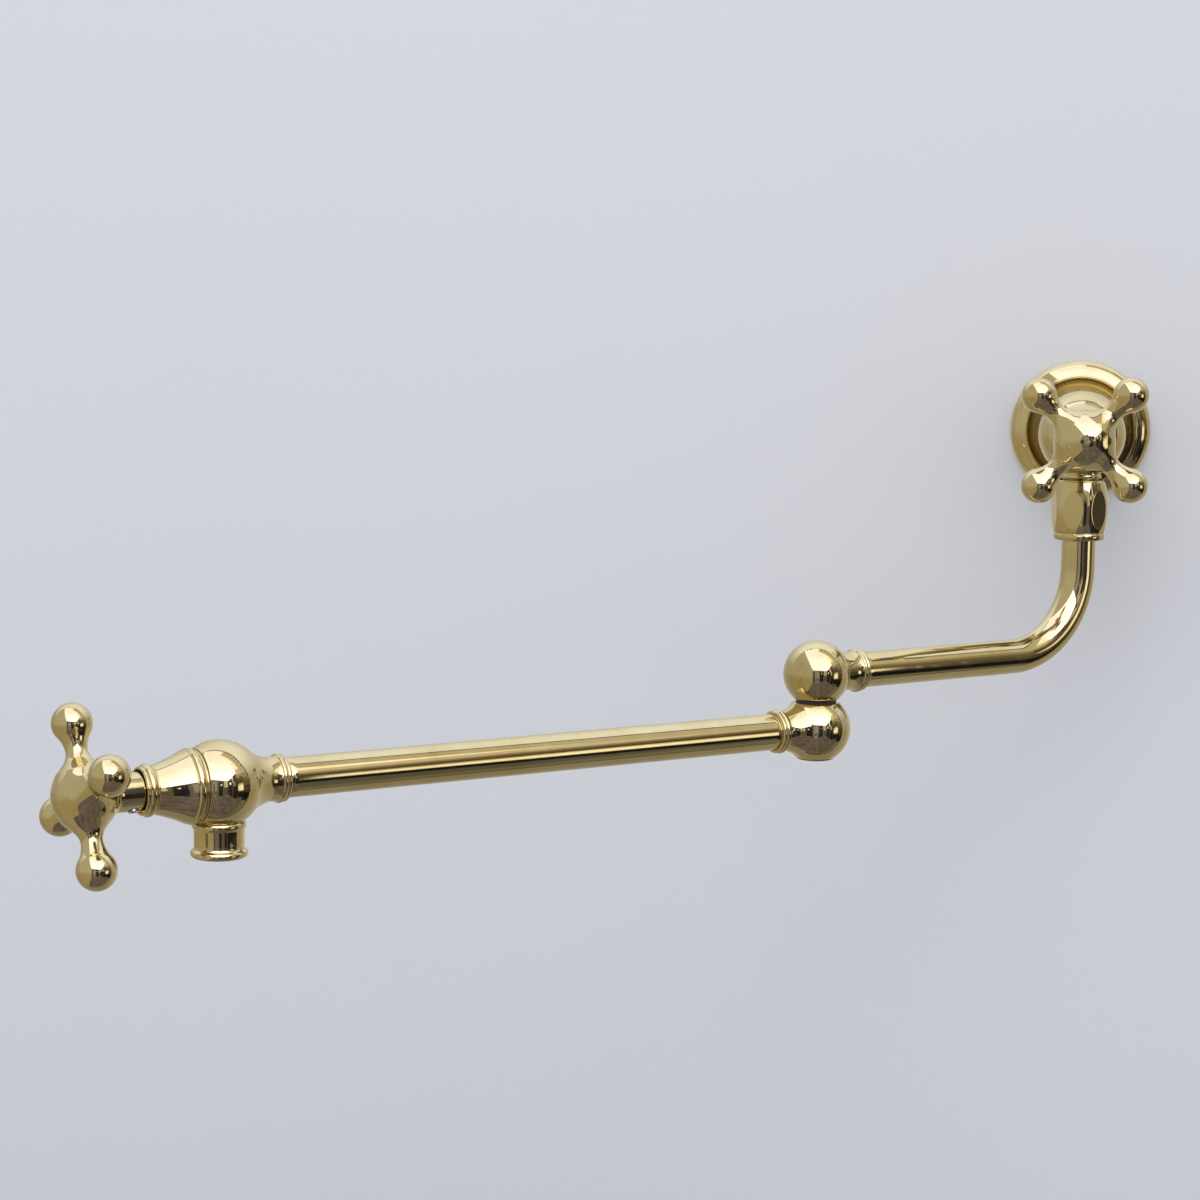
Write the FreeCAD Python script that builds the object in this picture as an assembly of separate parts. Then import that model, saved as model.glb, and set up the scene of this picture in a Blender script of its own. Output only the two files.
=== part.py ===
"""Wall mounted pot filler: a wall valve, two swinging arms and a second valve over the spout.

Millimetres. The origin is the middle of the flange's back, on the wall. +Y goes into the wall, +Z is up,
and the arms reach out to -Y. At rest the arms stand folded out to the left, with both valves shut.
"""
import FreeCAD, Part
import math
import os

V = FreeCAD.Vector

# Where the axes stand
valve_reach = 46.0          # wall to the swivel axis, which is also the middle of the wall valve's ball
arm_drop = 102.5            # wall valve's axis down to the inner arm's axis
inner_reach = 156.0         # swivel axis to the elbow's axis
elbow_drop = 24.2           # upper knuckle's middle down to the lower knuckle's middle
outer_reach = 285.0         # elbow's axis to the spout's axis
inner_angle = 43.0          # inner arm at rest, in degrees off the wall
outer_angle = 41.0          # outer arm at rest, in degrees off the wall

# Clearances
running_gap = 0.05          # round a shaft that turns in its bore
face_gap = 0.05             # between flat faces that turn on each other
seat_gap = 0.02             # round a piece that is soldered, screwed or pressed in
tube_gap = 0.35             # between the union nut and the tube that turns in it

# Tube of both arms
tube_radius = 8.0
tube_wall = 1.0
bend_radius = 40.0          # middle line of the bend in the inner tube

# Wall flange
flange_radius = 33.5
flange_edge = 2.2           # upright edge at the wall
flange_crest_radius = 26.0
flange_height = 10.0        # crest above the wall
flange_wall = 1.6
flange_dish_radius = 20.5   # foot of the dish inside the crest
flange_dish_height = 6.0
flange_collar_radius = 16.0
flange_collar_height = 12.0
flange_hub_wall = 3.0       # round the valve's neck
flange_hub_skirt = 4.0      # how far that wall reaches down from the collar's top
gasket_thickness = 1.0
gasket_width = 4.5
grip_ring_section = 1.2     # rubber ring that holds the flange on the valve's neck

# Wall valve's body
wall_ball_radius = 20.3
shank_radius = 10.48        # half-inch pipe thread
shank_length = 22.0         # behind the wall's face
shank_start = 0.5           # first turn of its thread, in front of the wall's face
shank_relief_radius = 9.6   # undercut between the thread and the neck
shank_chamfer = 1.0
shank_bore = 5.5
neck_end = 3.0              # neck's end, in front of the wall's face
neck_chamfer = 0.6
neck_radius = 13.0
outlet_neck_radius = 9.4
outlet_neck_length = 3.0
outlet_thread_radius = 10.0
outlet_thread_length = 11.0
outlet_chamfer = 1.0
outlet_bore = 6.5

# Valve head: bonnet, ceramic cartridge and handle, the same on both valves.
# Heights are measured from the flat on the ball that the bonnet stands on.
seat_radius = 14.5          # that flat
gland_thread_radius = 10.48
gland_thread_length = 5.0
gland_thread_runout = 0.3   # free depth under the gland's thread
chamber_radius = 9.2
chamber_depth = 20.0        # down to the face that the cartridge's seal presses on
bonnet_length = 23.4
bonnet_base_radius = 15.1
bonnet_base_height = 4.6    # base bead, under the bell
bonnet_ridge_radius = 14.1  # thin ridge between that bead and the ball
bonnet_ridge_height = 1.1
bonnet_groove_radius = 13.9 # bottom of the groove between that bead and the bell
bonnet_foot_radius = 14.35  # where the bell starts above the base bead
bonnet_waist_radius = 9.4   # where the bell ends under the top bead
bonnet_bell_bow = 0.4       # how far the bell's outline is hollowed
bonnet_top_radius = 10.25
bonnet_top_height = 4.4     # top bead and lip
bonnet_wall = 1.85
bonnet_mouth_radius = 8.4   # recess that the handle's stem turns in
bonnet_mouth_depth = 3.6
gland_washer_thickness = 1.0
gland_flange_height = 3.0
gland_flats = 21.0
gland_neck_radius = 6.4
gland_neck_top = 16.0
barrel_radius = 8.0
barrel_depth = 18.5
port_width = 8.0            # side windows that let the water out of the cartridge
disc_radius = 7.0
disc_thickness = 3.0
disc_slot_depth = 0.8       # slot on the moving disc that the spindle's tang turns
disc_opening_radius = 5.0
disc_core_radius = 1.2
disc_opening_angle = 76.0
seal_thickness = 3.0
seal_bore = 4.5
spindle_radius = 4.0
spindle_foot_height = 2.5
tang_width = 4.6
spindle_top = 34.0
spindle_flat = 1.2          # depth of the flat that the grub screw bears on
spindle_flat_start = 24.0
clip_thickness = 0.8
clip_radius = 5.6
clip_groove_radius = 3.2
spindle_ring_section = 1.0
spindle_ring_height = 6.0
handle_plane = 45.1         # middle of the spokes
handle_bore_end = 35.0
stem_radius = 7.5
stem_overlap = 3.0          # how far the stem reaches into the bonnet's mouth
stem_end = 32.5             # where the stem starts to swell into the hub
stem_swell = 2.0            # how much wider it is where it meets the hub
hub_radius = 12.4
spoke_reach = 28.6          # handle's axis to the middle of a spoke's ball
spoke_ball_radius = 7.9
spoke_waist_radius = 4.2
spoke_waist_reach = 17.0
spoke_root = 9.0            # where a spoke leaves the hub
spoke_count = 4
grub_radius = 2.0
grub_height = 27.0
grub_stands_out = 0.4
wall_handle_turn = 46.2     # first spoke at rest, in degrees off level
end_handle_turn = 24.8
grub_turn = 270.0           # grub screw, in degrees past the first spoke

# Union nut and the swivel in it, measured down from the wall valve's axis where not said otherwise
nut_flats = 24.66           # across the six oval flats
nut_turn = 15.0             # one flat's angle off straight out, to the left
nut_gap = 0.3               # under the valve's outlet neck
nut_length = 28.2
nut_top_radius = 11.4
nut_belly_radius = 13.2
nut_belly_height = 35.6
nut_foot_radius = 12.0
nut_rim_height = 3.3
nut_rim_radius = 12.15
nut_groove = 0.5
tail_flange_radius = 9.7
tail_flange_thickness = 3.0
tail_spigot_length = 9.0
tail_bore = 4.2
tail_socket_length = 9.0    # part of the tail that the tube is soldered over
swivel_washer_thickness = 0.8
swivel_ring_section = 1.2
swivel_ring_places = (2.2, 6.2)   # above the tail's flange

# Collars and necks where the knuckles and the end valve take the tube
collar_radius = 9.7
collar_width = 3.6
collar_root_radius = 9.0
collar_lip = 1.5
collar_lip_bow = 0.4        # how far the lip bulges
neck_waist_radius = 8.5
neck_root_radius = 8.9
socket_depth = 7.0
waterway_radius = 5.4

# Elbow
upper_ball_radius = 14.75
lower_ball_radius = 15.5
upper_flat_radius = 9.7     # flat under the upper ball
elbow_gap = 1.4             # between the two balls' flats
elbow_washer_radius = 8.9
inner_collar_reach = 22.0   # upper knuckle's middle to its collar
outer_collar_reach = 21.3   # lower knuckle's middle to its collar
lower_neck_start = 10.2     # where the lower knuckle's cone leaves the ball
lower_neck_radius = 11.6
pivot_thread_radius = 6.6   # pivot stem where it is screwed into the upper knuckle
pivot_thread_top = 4.5      # its upper end, below the upper knuckle's middle
pivot_radius = 6.0
pivot_bore = 3.6
pivot_port_radius = 1.7
pivot_port_count = 4
pivot_chamber_radius = 8.4
pivot_chamber_height = 7.0
pivot_ring_section = 1.1
pivot_upper_ring = 7.6      # above the lower knuckle's middle
pivot_foot_radius = 8.0     # counterbore under the lower knuckle
pivot_foot_depth = 7.2
pivot_washer_thickness = 1.0
pivot_washer_radius = 7.6
pivot_clip_thickness = 1.0
pivot_clip_groove = 5.0
pivot_clip_radius = 7.2
pivot_tip = 1.4             # stem below its clip
cap_seat_radius = 8.7       # flat under the lower ball
cap_radius = 8.3
cap_lip = 0.7
cap_groove = 0.9            # groove round the cap, under the lower ball
cap_groove_height = 0.4
cap_dome = 1.2
cap_spigot = 1.8

# End valve's body and spout, measured down from the ball's middle where not said otherwise
end_ball_radius = 17.3
end_collar_reach = 25.2     # end valve's middle to its collar
end_neck_radius = 13.6      # where the neck's flare leaves the ball
end_neck_waist_radius = 8.85
end_neck_waist = 19.4
spout_seat_radius = 9.9     # flat under the ball that the spout is screwed to
spout_bead_radius = 10.6
spout_bead_height = 3.2
spout_waist_radius = 9.8
spout_waist_depth = 23.4     # where the barrel starts to flare
spout_rim_radius = 11.25
spout_rim_section = 1.7
spout_rim_depth = 26.85
spout_thread_radius = 8.0
spout_thread_length = 3.6
spout_bore = 5.5
aerator_radius = 8.3
aerator_wall = 1.0
aerator_height = 6.6
aerator_recess = 1.2        # aerator's face above the spout's foot
aerator_washer_thickness = 0.9
mesh_thickness = 0.8
mesh_recess = 0.6           # mesh above the aerator's face
mesh_hole_radius = 0.65
mesh_hole_pitch = 2.2
straightener_height = 3.0
straightener_recess = 0.9   # below the aerator's upper end
straightener_hole_radius = 0.9
straightener_hole_pitch = 2.7

pieces = {}


def turned(points):
    """Solid turned about local Z from (radius, along) corners. A third value bows the run that ends at
    its corner: a number is the bow's height to the left of the run, a pair is a corner it passes through."""
    corners = [V(point[0], 0, point[1]) for point in points]
    edges = []
    for number, point in enumerate(points):
        start = corners[number - 1]
        end = corners[number]
        if len(point) < 3:
            edges.append(Part.LineSegment(start, end).toShape())
            continue
        if isinstance(point[2], tuple):
            middle = V(point[2][0], 0, point[2][1])
        else:
            run = end - start
            left = V(-run.z, 0, run.x).normalize()
            middle = (start + end) * 0.5 + left * point[2]
        edges.append(Part.Arc(start, middle, end).toShape())
    solid = Part.Face(Part.Wire(edges)).revolve(V(0, 0, 0), V(0, 0, 1), 360)
    if solid.Volume < 0:
        solid.reverse()
    return solid


def rod(radius, low, high):
    """Cylinder on local Z between two heights."""
    return Part.makeCylinder(radius, high - low, V(0, 0, low), V(0, 0, 1))


def ring(inner, outer, low, high):
    return rod(outer, low, high).cut(rod(inner, low - 1, high + 1))


def rubber_ring(inner, section, height):
    """Ring of round section whose hole is inner in radius."""
    return Part.makeTorus(inner + section / 2, section / 2, V(0, 0, height), V(0, 0, 1))


def groove(bottom, outer, section, height):
    """What is cut from a shaft to hold a ring of round section."""
    return ring(bottom, outer + 1, height - section * 0.6, height + section * 0.6)


def hexagon(flats, low, high, turn):
    """Six-sided bar on local Z with one flat facing turn degrees off local X."""
    corner = flats / 2 / math.cos(math.radians(30))
    angles = [math.radians(60 * number + 30 + turn) for number in range(7)]
    corners = [V(corner * math.cos(angle), corner * math.sin(angle), low) for angle in angles]
    return Part.Face(Part.makePolygon(corners)).extrude(V(0, 0, high - low))


def wedges(core, outer, angle, low, high, turn):
    """Two opposite wedges between two radii, each angle degrees wide, the first about turn."""
    shapes = []
    for side in (0, 180):
        wedge = Part.makeCylinder(outer, high - low, V(0, 0, low), V(0, 0, 1), angle)
        wedge.rotate(V(0, 0, 0), V(0, 0, 1), turn + side - angle / 2)
        shapes.append(wedge)
    return shapes[0].fuse(shapes[1]).cut(rod(core, low - 1, high + 1))


def hole_field(radius, pitch, hole, low, high):
    """Round holes in a hexagonal pattern that stay inside a radius."""
    count = int(radius / pitch) + 1
    holes = []
    for row in range(-count, count + 1):
        for place in range(-count, count + 1):
            x = (place + row / 2) * pitch
            y = row * pitch * math.sin(math.radians(60))
            if math.hypot(x, y) + hole * 1.4 > radius:
                continue
            bore = rod(hole, low - 1, high + 1)
            bore.translate(V(x, y, 0))
            holes.append(bore)
    return holes


def frame(origin, axis, up):
    """Placement whose local Z is axis and whose local Y is up."""
    side = up.cross(axis)
    return FreeCAD.Placement(FreeCAD.Matrix(side.x, up.x, axis.x, origin.x,
                                            side.y, up.y, axis.y, origin.y,
                                            side.z, up.z, axis.z, origin.z,
                                            0, 0, 0, 1))


def placed(shape, place):
    return shape.transformed(place.toMatrix())


def add(node, shape, place):
    """Keep a finished piece under its node's name, set in its place."""
    solids = shape.removeSplitter().Solids
    kept = solids[0] if len(solids) == 1 else Part.makeCompound(solids)
    pieces[node] = placed(kept, place)


def chord_height(ball_radius, flat_radius):
    """Distance from a ball's middle to the flat of a given radius cut on it."""
    return math.sqrt(ball_radius ** 2 - flat_radius ** 2)


def away(angle):
    """Level direction of an arm that leaves to the left, angle degrees off the wall."""
    return V(-math.cos(math.radians(angle)), -math.sin(math.radians(angle)), 0)


# Places and frames that the sections share
UP = V(0, 0, 1)
DOWN = V(0, 0, -1)
OUT = V(0, -1, 0)
CENTRE = V(0, 0, 0)
inner_way = away(inner_angle)
outer_way = away(outer_angle)
swivel_top = OUT * valve_reach
inner_corner = swivel_top + DOWN * arm_drop
upper_middle = inner_corner + inner_way * inner_reach
lower_middle = upper_middle + DOWN * elbow_drop
spout_middle = lower_middle + outer_way * outer_reach
wall_seat = chord_height(wall_ball_radius, seat_radius)
end_seat = chord_height(end_ball_radius, seat_radius)
local_down = frame(CENTRE, V(0, -1, 0), V(0, 0, 1))      # inside a valve's frame, whose local Y is up

# Swivel heights below the wall valve's axis
outlet_flat = chord_height(wall_ball_radius, outlet_neck_radius)
outlet_neck_end = outlet_flat + outlet_neck_length
outlet_end = outlet_neck_end + outlet_thread_length
nut_start = outlet_neck_end + nut_gap
nut_end = nut_start + nut_length
tail_flange_top = outlet_end + swivel_washer_thickness + 2 * face_gap
tail_flange_foot = tail_flange_top + tail_flange_thickness
nut_shoulder = tail_flange_foot + swivel_washer_thickness + 2 * face_gap

# Elbow heights about the lower knuckle's middle, upwards
upper_flat = chord_height(upper_ball_radius, upper_flat_radius)
lower_top = elbow_drop - upper_flat - elbow_gap
cap_flat = -chord_height(lower_ball_radius, cap_seat_radius)
foot_top = cap_flat + pivot_foot_depth
pivot_clip_top = foot_top - face_gap - pivot_washer_thickness

# Spout depths below the end valve's middle
spout_flat = chord_height(end_ball_radius, spout_seat_radius)
spout_foot = spout_rim_depth + spout_rim_section
aerator_face = spout_foot - aerator_recess
aerator_top = aerator_face - aerator_height


# ---- wall flange: a spun brass cup with a dished middle, its wall seal and its grip ring ----
def build_flange():
    bore = neck_radius + running_gap
    crest = flange_height - 0.3
    inside = flange_radius - flange_wall
    hub_outer = bore + flange_hub_wall
    skirt = flange_collar_height - flange_hub_skirt
    flange = turned([
        (bore, skirt),
        (bore, flange_collar_height),
        (flange_collar_radius - 1, flange_collar_height),
        (flange_collar_radius, flange_collar_height - 1, 0.29),
        (flange_collar_radius, flange_dish_height + 2),
        (flange_collar_radius + 2, flange_dish_height, -0.58),
        (flange_dish_radius, flange_dish_height),
        (flange_crest_radius - 0.8, crest, -1.1),
        (flange_crest_radius + 0.8, crest, 0.45),
        (flange_radius, flange_edge, 1.5),
        (flange_radius, 0),
        (inside, 0),
        (inside, flange_edge - 0.4),
        (flange_crest_radius + 0.5, crest - flange_wall, -1.5),
        (flange_crest_radius - 0.5, crest - flange_wall),
        (flange_dish_radius, flange_dish_height - flange_wall, 0.9),
        (hub_outer, flange_dish_height - flange_wall),
        (hub_outer, skirt),
    ])
    section = grip_ring_section
    grip_height = flange_collar_height - 2.4
    slot = ring(bore - 1, bore + section * 0.8, grip_height - section * 0.6, grip_height + section * 0.6)
    place = frame(CENTRE, OUT, UP)
    add("wall_flange", flange.cut(slot), place)
    outer = inside - seat_gap
    add("flange_gasket", ring(outer - gasket_width, outer, 0, gasket_thickness), place)
    add("flange_grip_ring", rubber_ring(neck_radius + seat_gap, section * 0.8, grip_height), place)


# ---- valve bodies: a ball with a threaded mouth for the cartridge and a water chamber under it ----
def head_pocket(seat):
    """Threaded mouth and water chamber, opened from the ball's seat flat."""
    floor = seat - gland_thread_length - gland_thread_runout
    mouth = rod(gland_thread_radius + seat_gap, floor, seat + 1)
    return mouth.fuse(rod(chamber_radius, seat - chamber_depth, seat))


def build_wall_valve_body():
    back = -valve_reach
    root = outlet_flat - outlet_thread_length
    body = turned([
        (0, back - shank_length),
        (shank_radius - shank_chamfer, back - shank_length),
        (shank_radius, back - shank_length + shank_chamfer),
        (shank_radius, back + shank_start),
        (shank_relief_radius, back + shank_start),
        (shank_relief_radius, back + neck_end),
        (neck_radius - neck_chamfer, back + neck_end),
        (neck_radius, back + neck_end + neck_chamfer),
        (neck_radius, -chord_height(wall_ball_radius, neck_radius)),
        (seat_radius, wall_seat, (wall_ball_radius, 0)),
        (0, wall_seat),
    ])
    block = 2 * wall_ball_radius
    body = body.cut(Part.makeBox(2 * block, block, 2 * block, V(-block, -outlet_flat - block, -block)))
    outlet = turned([
        (0, root),
        (outlet_neck_radius, root),
        (outlet_neck_radius, outlet_flat + 0.6),
        (outlet_neck_radius, outlet_neck_end - 0.4, -0.35),
        (outlet_neck_radius - 0.8, outlet_neck_end),
        (outlet_thread_radius - 0.6, outlet_neck_end + 0.5),
        (outlet_thread_radius, outlet_neck_end + 1.1),
        (outlet_thread_radius, outlet_end - outlet_chamfer),
        (outlet_thread_radius - outlet_chamfer, outlet_end),
        (0, outlet_end),
    ])
    body = body.fuse(placed(outlet, local_down))
    body = body.cut(head_pocket(wall_seat))
    body = body.cut(rod(shank_bore, back - shank_length - 1, wall_seat - chamber_depth + 1))
    body = body.cut(placed(rod(outlet_bore, 0, outlet_end + 1), local_down))
    add("wall_valve_body", body, frame(swivel_top, OUT, UP))


def neck_and_collar(root, root_radius, waist, reach):
    """Turned neck and collar along local Z, from inside a ball out to where the tube enters."""
    low = reach - collar_width / 2
    high = reach + collar_width / 2
    bead = collar_radius - collar_root_radius
    return turned([
        (0, 0),
        (root_radius, 0),
        (root_radius, root),
        (neck_waist_radius, waist, (root_radius * 0.3 + neck_waist_radius * 0.7, root * 0.45 + waist * 0.55)),
        (collar_root_radius, low, 0.1),
        (collar_root_radius, high - collar_lip, -bead),
        (collar_root_radius, high, -collar_lip_bow),
        (tube_radius + 0.4, high + 0.3),
        (0, high + 0.3),
    ])


def tube_way(reach, inner_end):
    """Socket for the tube and the waterway behind it, along local Z."""
    mouth = reach + collar_width / 2 + 0.3
    socket = rod(tube_radius + seat_gap, mouth - socket_depth, mouth + 1)
    return socket.fuse(rod(waterway_radius, inner_end, mouth))


def build_end_valve_body():
    """The ball on the outer tube's end, with the spout under it. Local Z is the arm's way out."""
    mouth = end_collar_reach + collar_width / 2 + 0.3
    flare = chord_height(end_ball_radius, end_neck_radius)
    low = end_collar_reach - collar_width / 2
    high = end_collar_reach + collar_width / 2
    bead = collar_radius - collar_root_radius
    body = turned([
        (0, -mouth),
        (tube_radius + 0.4, -mouth),
        (collar_root_radius, -high),
        (collar_root_radius, -high + collar_lip, -collar_lip_bow),
        (collar_root_radius, -low, -bead),
        (end_neck_waist_radius, -end_neck_waist, 0.1),
        (end_neck_radius, -flare, (end_neck_waist_radius + 1.6, -flare * 0.48 - end_neck_waist * 0.52)),
        (seat_radius, end_seat, (end_ball_radius, 0)),
        (0, end_seat),
    ])
    block = 2 * end_ball_radius
    body = body.cut(Part.makeBox(2 * block, block, 2 * block, V(-block, -spout_flat - block, -block)))
    body = body.cut(head_pocket(end_seat))
    body = body.cut(rod(waterway_radius, -mouth, end_seat - chamber_depth + 1))
    body = body.cut(rod(tube_radius + seat_gap, -mouth - 1, -mouth + socket_depth))
    thread = rod(spout_thread_radius + seat_gap, spout_flat - spout_thread_length - 0.2, spout_flat + 1)
    body = body.cut(placed(thread, local_down))
    body = body.cut(placed(rod(spout_bore, 0, spout_flat), local_down))
    add("end_valve_body", body, frame(spout_middle, outer_way, UP))


# ---- one valve head: everything between the seat flat and the handle ----
def build_bonnet(name, place):
    """Bell-shaped cover, screwed on the cartridge's neck, between a base bead and a top bead."""
    bell_end = bonnet_length - bonnet_top_height
    mouth_floor = bonnet_length - bonnet_mouth_depth
    grip = 5.0
    ridge_bow = 0.4
    ridge = bonnet_ridge_radius - ridge_bow
    edge = bonnet_base_radius - 0.9
    top_edge = bonnet_top_radius - 1.0
    inside = bonnet_foot_radius - bonnet_wall
    bell_inside = bonnet_waist_radius - bonnet_wall
    bonnet = turned([
        (inside, 0),
        (ridge, 0),
        (ridge, bonnet_ridge_height, -ridge_bow),
        (edge, bonnet_base_height - 0.4, -0.9),
        (bonnet_groove_radius, bonnet_base_height - 0.1),
        (bonnet_foot_radius, bonnet_base_height + 0.4),
        (bonnet_waist_radius, bell_end - 0.7, bonnet_bell_bow),
        (top_edge, bell_end, 0.2),
        (top_edge, bonnet_length - 1.2, -1.0),
        (top_edge, bonnet_length - 0.2, -0.2),
        (top_edge - 0.2, bonnet_length),
        (bonnet_mouth_radius, bonnet_length),
        (bonnet_mouth_radius, mouth_floor),
        (gland_neck_radius + seat_gap, mouth_floor),
        (gland_neck_radius + seat_gap, mouth_floor - grip),
        (bell_inside, mouth_floor - grip),
        (inside, bonnet_base_height, -bonnet_bell_bow * 0.5),
    ])
    add(name, bonnet, place)


def build_gland(name, place):
    """Cartridge body: a barrel round the ceramic discs, a thread, a six-sided flange and a neck."""
    flange_low = gland_washer_thickness
    flange_high = flange_low + gland_flange_height
    cavity_top = -chamber_depth + seal_thickness + 2 * disc_thickness + spindle_foot_height + face_gap
    gland = rod(barrel_radius, -barrel_depth, 0)
    gland = gland.fuse(rod(gland_thread_radius, -gland_thread_length, flange_low))
    gland = gland.fuse(hexagon(gland_flats, flange_low, flange_high, 0))
    gland = gland.fuse(rod(gland_neck_radius, flange_high, gland_neck_top))
    gland = gland.cut(rod(disc_radius + running_gap, -barrel_depth - 1, cavity_top))
    gland = gland.cut(rod(spindle_radius + running_gap, cavity_top - 1, gland_neck_top + 1))
    port_low = cavity_top - spindle_foot_height
    port_high = -gland_thread_length - 0.8
    port = Part.makeBox(4 * barrel_radius, port_width, port_high - port_low,
                        V(-2 * barrel_radius, -port_width / 2, port_low))
    core = rod(barrel_radius + 1, -barrel_depth, cavity_top)
    gland = gland.cut(port.common(core))
    add(name, gland, place)


def build_discs(prefix, place):
    """Two lapped ceramic discs. Their openings stand a quarter turn apart when the valve is shut."""
    low = -chamber_depth + seal_thickness
    middle = low + disc_thickness
    high = middle + disc_thickness
    fixed = rod(disc_radius, low, middle)
    fixed = fixed.cut(wedges(disc_core_radius, disc_opening_radius, disc_opening_angle, low - 1, middle + 1, 0))
    add(prefix + "_fixed_disc", fixed, place)
    moving = rod(disc_radius - face_gap, middle, high)
    moving = moving.cut(wedges(disc_core_radius, disc_opening_radius, disc_opening_angle,
                               middle - 1, high - disc_slot_depth - 0.6, 90))
    width = tang_width + 2 * seat_gap
    slot = Part.makeBox(4 * disc_radius, width, 2, V(-2 * disc_radius, -width / 2, high - disc_slot_depth))
    moving = moving.cut(slot)
    add(prefix + "_moving_disc", moving, place)


def build_spindle(prefix, place, flat_angle):
    foot_low = -chamber_depth + seal_thickness + 2 * disc_thickness
    foot_high = foot_low + spindle_foot_height
    tang = Part.makeBox(4 * disc_radius, tang_width, foot_high - foot_low + disc_slot_depth,
                        V(-2 * disc_radius, -tang_width / 2, foot_low - disc_slot_depth))
    foot = rod(disc_radius - face_gap, foot_low - disc_slot_depth, foot_high)
    spindle = rod(spindle_radius, foot_high - 0.5, spindle_top).fuse(tang.common(foot))
    clip_low = gland_neck_top + face_gap
    clip_high = clip_low + clip_thickness
    spindle = spindle.cut(ring(clip_groove_radius, spindle_radius + 1, clip_low, clip_high))
    ring_bottom = spindle_radius - spindle_ring_section
    spindle = spindle.cut(groove(ring_bottom, spindle_radius, spindle_ring_section, spindle_ring_height))
    flat = Part.makeBox(spindle_radius, 4 * spindle_radius, spindle_top - spindle_flat_start + 1,
                        V(spindle_radius - spindle_flat, -2 * spindle_radius, spindle_flat_start))
    flat.rotate(CENTRE, UP, flat_angle)
    add(prefix + "_spindle", spindle.cut(flat), place)
    split = Part.makeBox(2 * clip_radius, clip_groove_radius, 2 * clip_thickness,
                         V(0, -clip_groove_radius / 2, clip_low - clip_thickness / 2))
    clip = ring(clip_groove_radius + seat_gap, clip_radius, clip_low, clip_high).cut(split)
    add(prefix + "_spindle_clip", clip, place)
    add(prefix + "_spindle_ring", rubber_ring(ring_bottom, spindle_ring_section, spindle_ring_height), place)


def spoke():
    """One spoke along local Z: a waisted arm that swells into the hub and into its ball."""
    gap = spoke_reach - spoke_waist_reach
    hollow = (gap ** 2 + spoke_waist_radius ** 2 - spoke_ball_radius ** 2) \
        / (2 * (spoke_ball_radius - spoke_waist_radius))
    hollow_centre = spoke_waist_radius + hollow
    share = spoke_ball_radius / (spoke_ball_radius + hollow)
    root_radius = hollow_centre - chord_height(hollow, spoke_waist_reach - spoke_root)
    return turned([
        (0, 2),
        (root_radius, 2),
        (root_radius, spoke_root),
        (hollow_centre * share, spoke_reach - gap * share, (spoke_waist_radius, spoke_waist_reach)),
        (0, spoke_reach + spoke_ball_radius, (spoke_ball_radius, spoke_reach)),
    ])


def build_handle(prefix, place, turn):
    """Four-spoked cross handle cast with its stem, and the grub screw that holds it on the spindle."""
    stem_low = bonnet_length - stem_overlap
    swell = chord_height(hub_radius, stem_radius + stem_swell)
    handle = turned([
        (0, stem_low),
        (stem_radius - 0.5, stem_low),
        (stem_radius, stem_low + 0.5),
        (stem_radius, stem_end),
        (stem_radius + stem_swell, handle_plane - swell, 0.35),
        (0, handle_plane + hub_radius, (hub_radius, handle_plane)),
    ])
    for number in range(spoke_count):
        angle = math.radians(turn + 360 * number / spoke_count)
        way = V(math.cos(angle), math.sin(angle), 0)
        handle = handle.fuse(placed(spoke(), frame(V(0, 0, handle_plane), way, UP)))
    handle = handle.cut(rod(spindle_radius + seat_gap, stem_low - 1, handle_bore_end))
    grub_angle = math.radians(turn + grub_turn)
    grub_way = V(math.cos(grub_angle), math.sin(grub_angle), 0)
    grub_place = frame(V(0, 0, grub_height), grub_way, UP)
    handle = handle.cut(placed(rod(grub_radius + seat_gap, 0, 2 * stem_radius), grub_place))
    add(prefix + "_handle", handle, place)
    grub = rod(grub_radius, spindle_radius - spindle_flat, stem_radius + grub_stands_out)
    socket = hexagon(grub_radius, stem_radius - 1.5, stem_radius + 1, 0)
    add(prefix + "_grub_screw", placed(grub.cut(socket), grub_place), place)


def build_valve_head(prefix, middle, way, seat, turn):
    place = frame(middle + way * seat, way, UP)
    build_bonnet(prefix + "_bonnet", place)
    build_gland(prefix + "_gland", place)
    washer = ring(gland_thread_radius + seat_gap, gland_flats / 2 + 1.2, 0, gland_washer_thickness)
    add(prefix + "_gland_washer", washer, place)
    seal = ring(seal_bore, disc_radius, -chamber_depth, -chamber_depth + seal_thickness)
    add(prefix + "_seat_seal", seal, place)
    build_discs(prefix, place)
    build_spindle(prefix, place, turn + grub_turn)
    build_handle(prefix, place, turn)


# ---- union nut, and the tail of the inner arm that swivels in it ----
def build_union_nut():
    foot = nut_end - nut_rim_height
    barrel = turned([
        (0, nut_start),
        (nut_top_radius - 0.5, nut_start),
        (nut_top_radius, nut_start + 0.6, 0.2),
        (nut_foot_radius, foot - nut_groove, (nut_belly_radius, nut_belly_height)),
        (0, foot - nut_groove),
    ])
    barrel = barrel.common(hexagon(nut_flats, nut_start - 1, nut_end, 0))
    rim = turned([
        (0, foot - nut_groove),
        (nut_foot_radius - 0.5, foot - nut_groove),
        (nut_rim_radius - 0.4, foot, -0.1),
        (nut_rim_radius - 0.4, nut_end - 0.2, -0.4),
        (nut_rim_radius - 0.9, nut_end),
        (0, nut_end),
    ])
    nut = barrel.fuse(rim)
    nut = nut.cut(rod(outlet_thread_radius + seat_gap, nut_start - 1, nut_shoulder))
    nut = nut.cut(rod(tube_radius + tube_gap, nut_shoulder - 1, nut_end + 1))
    nut_way = V(-math.sin(math.radians(nut_turn)), -math.cos(math.radians(nut_turn)), 0)
    add("union_nut", nut, frame(swivel_top, DOWN, DOWN.cross(nut_way)))


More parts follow.
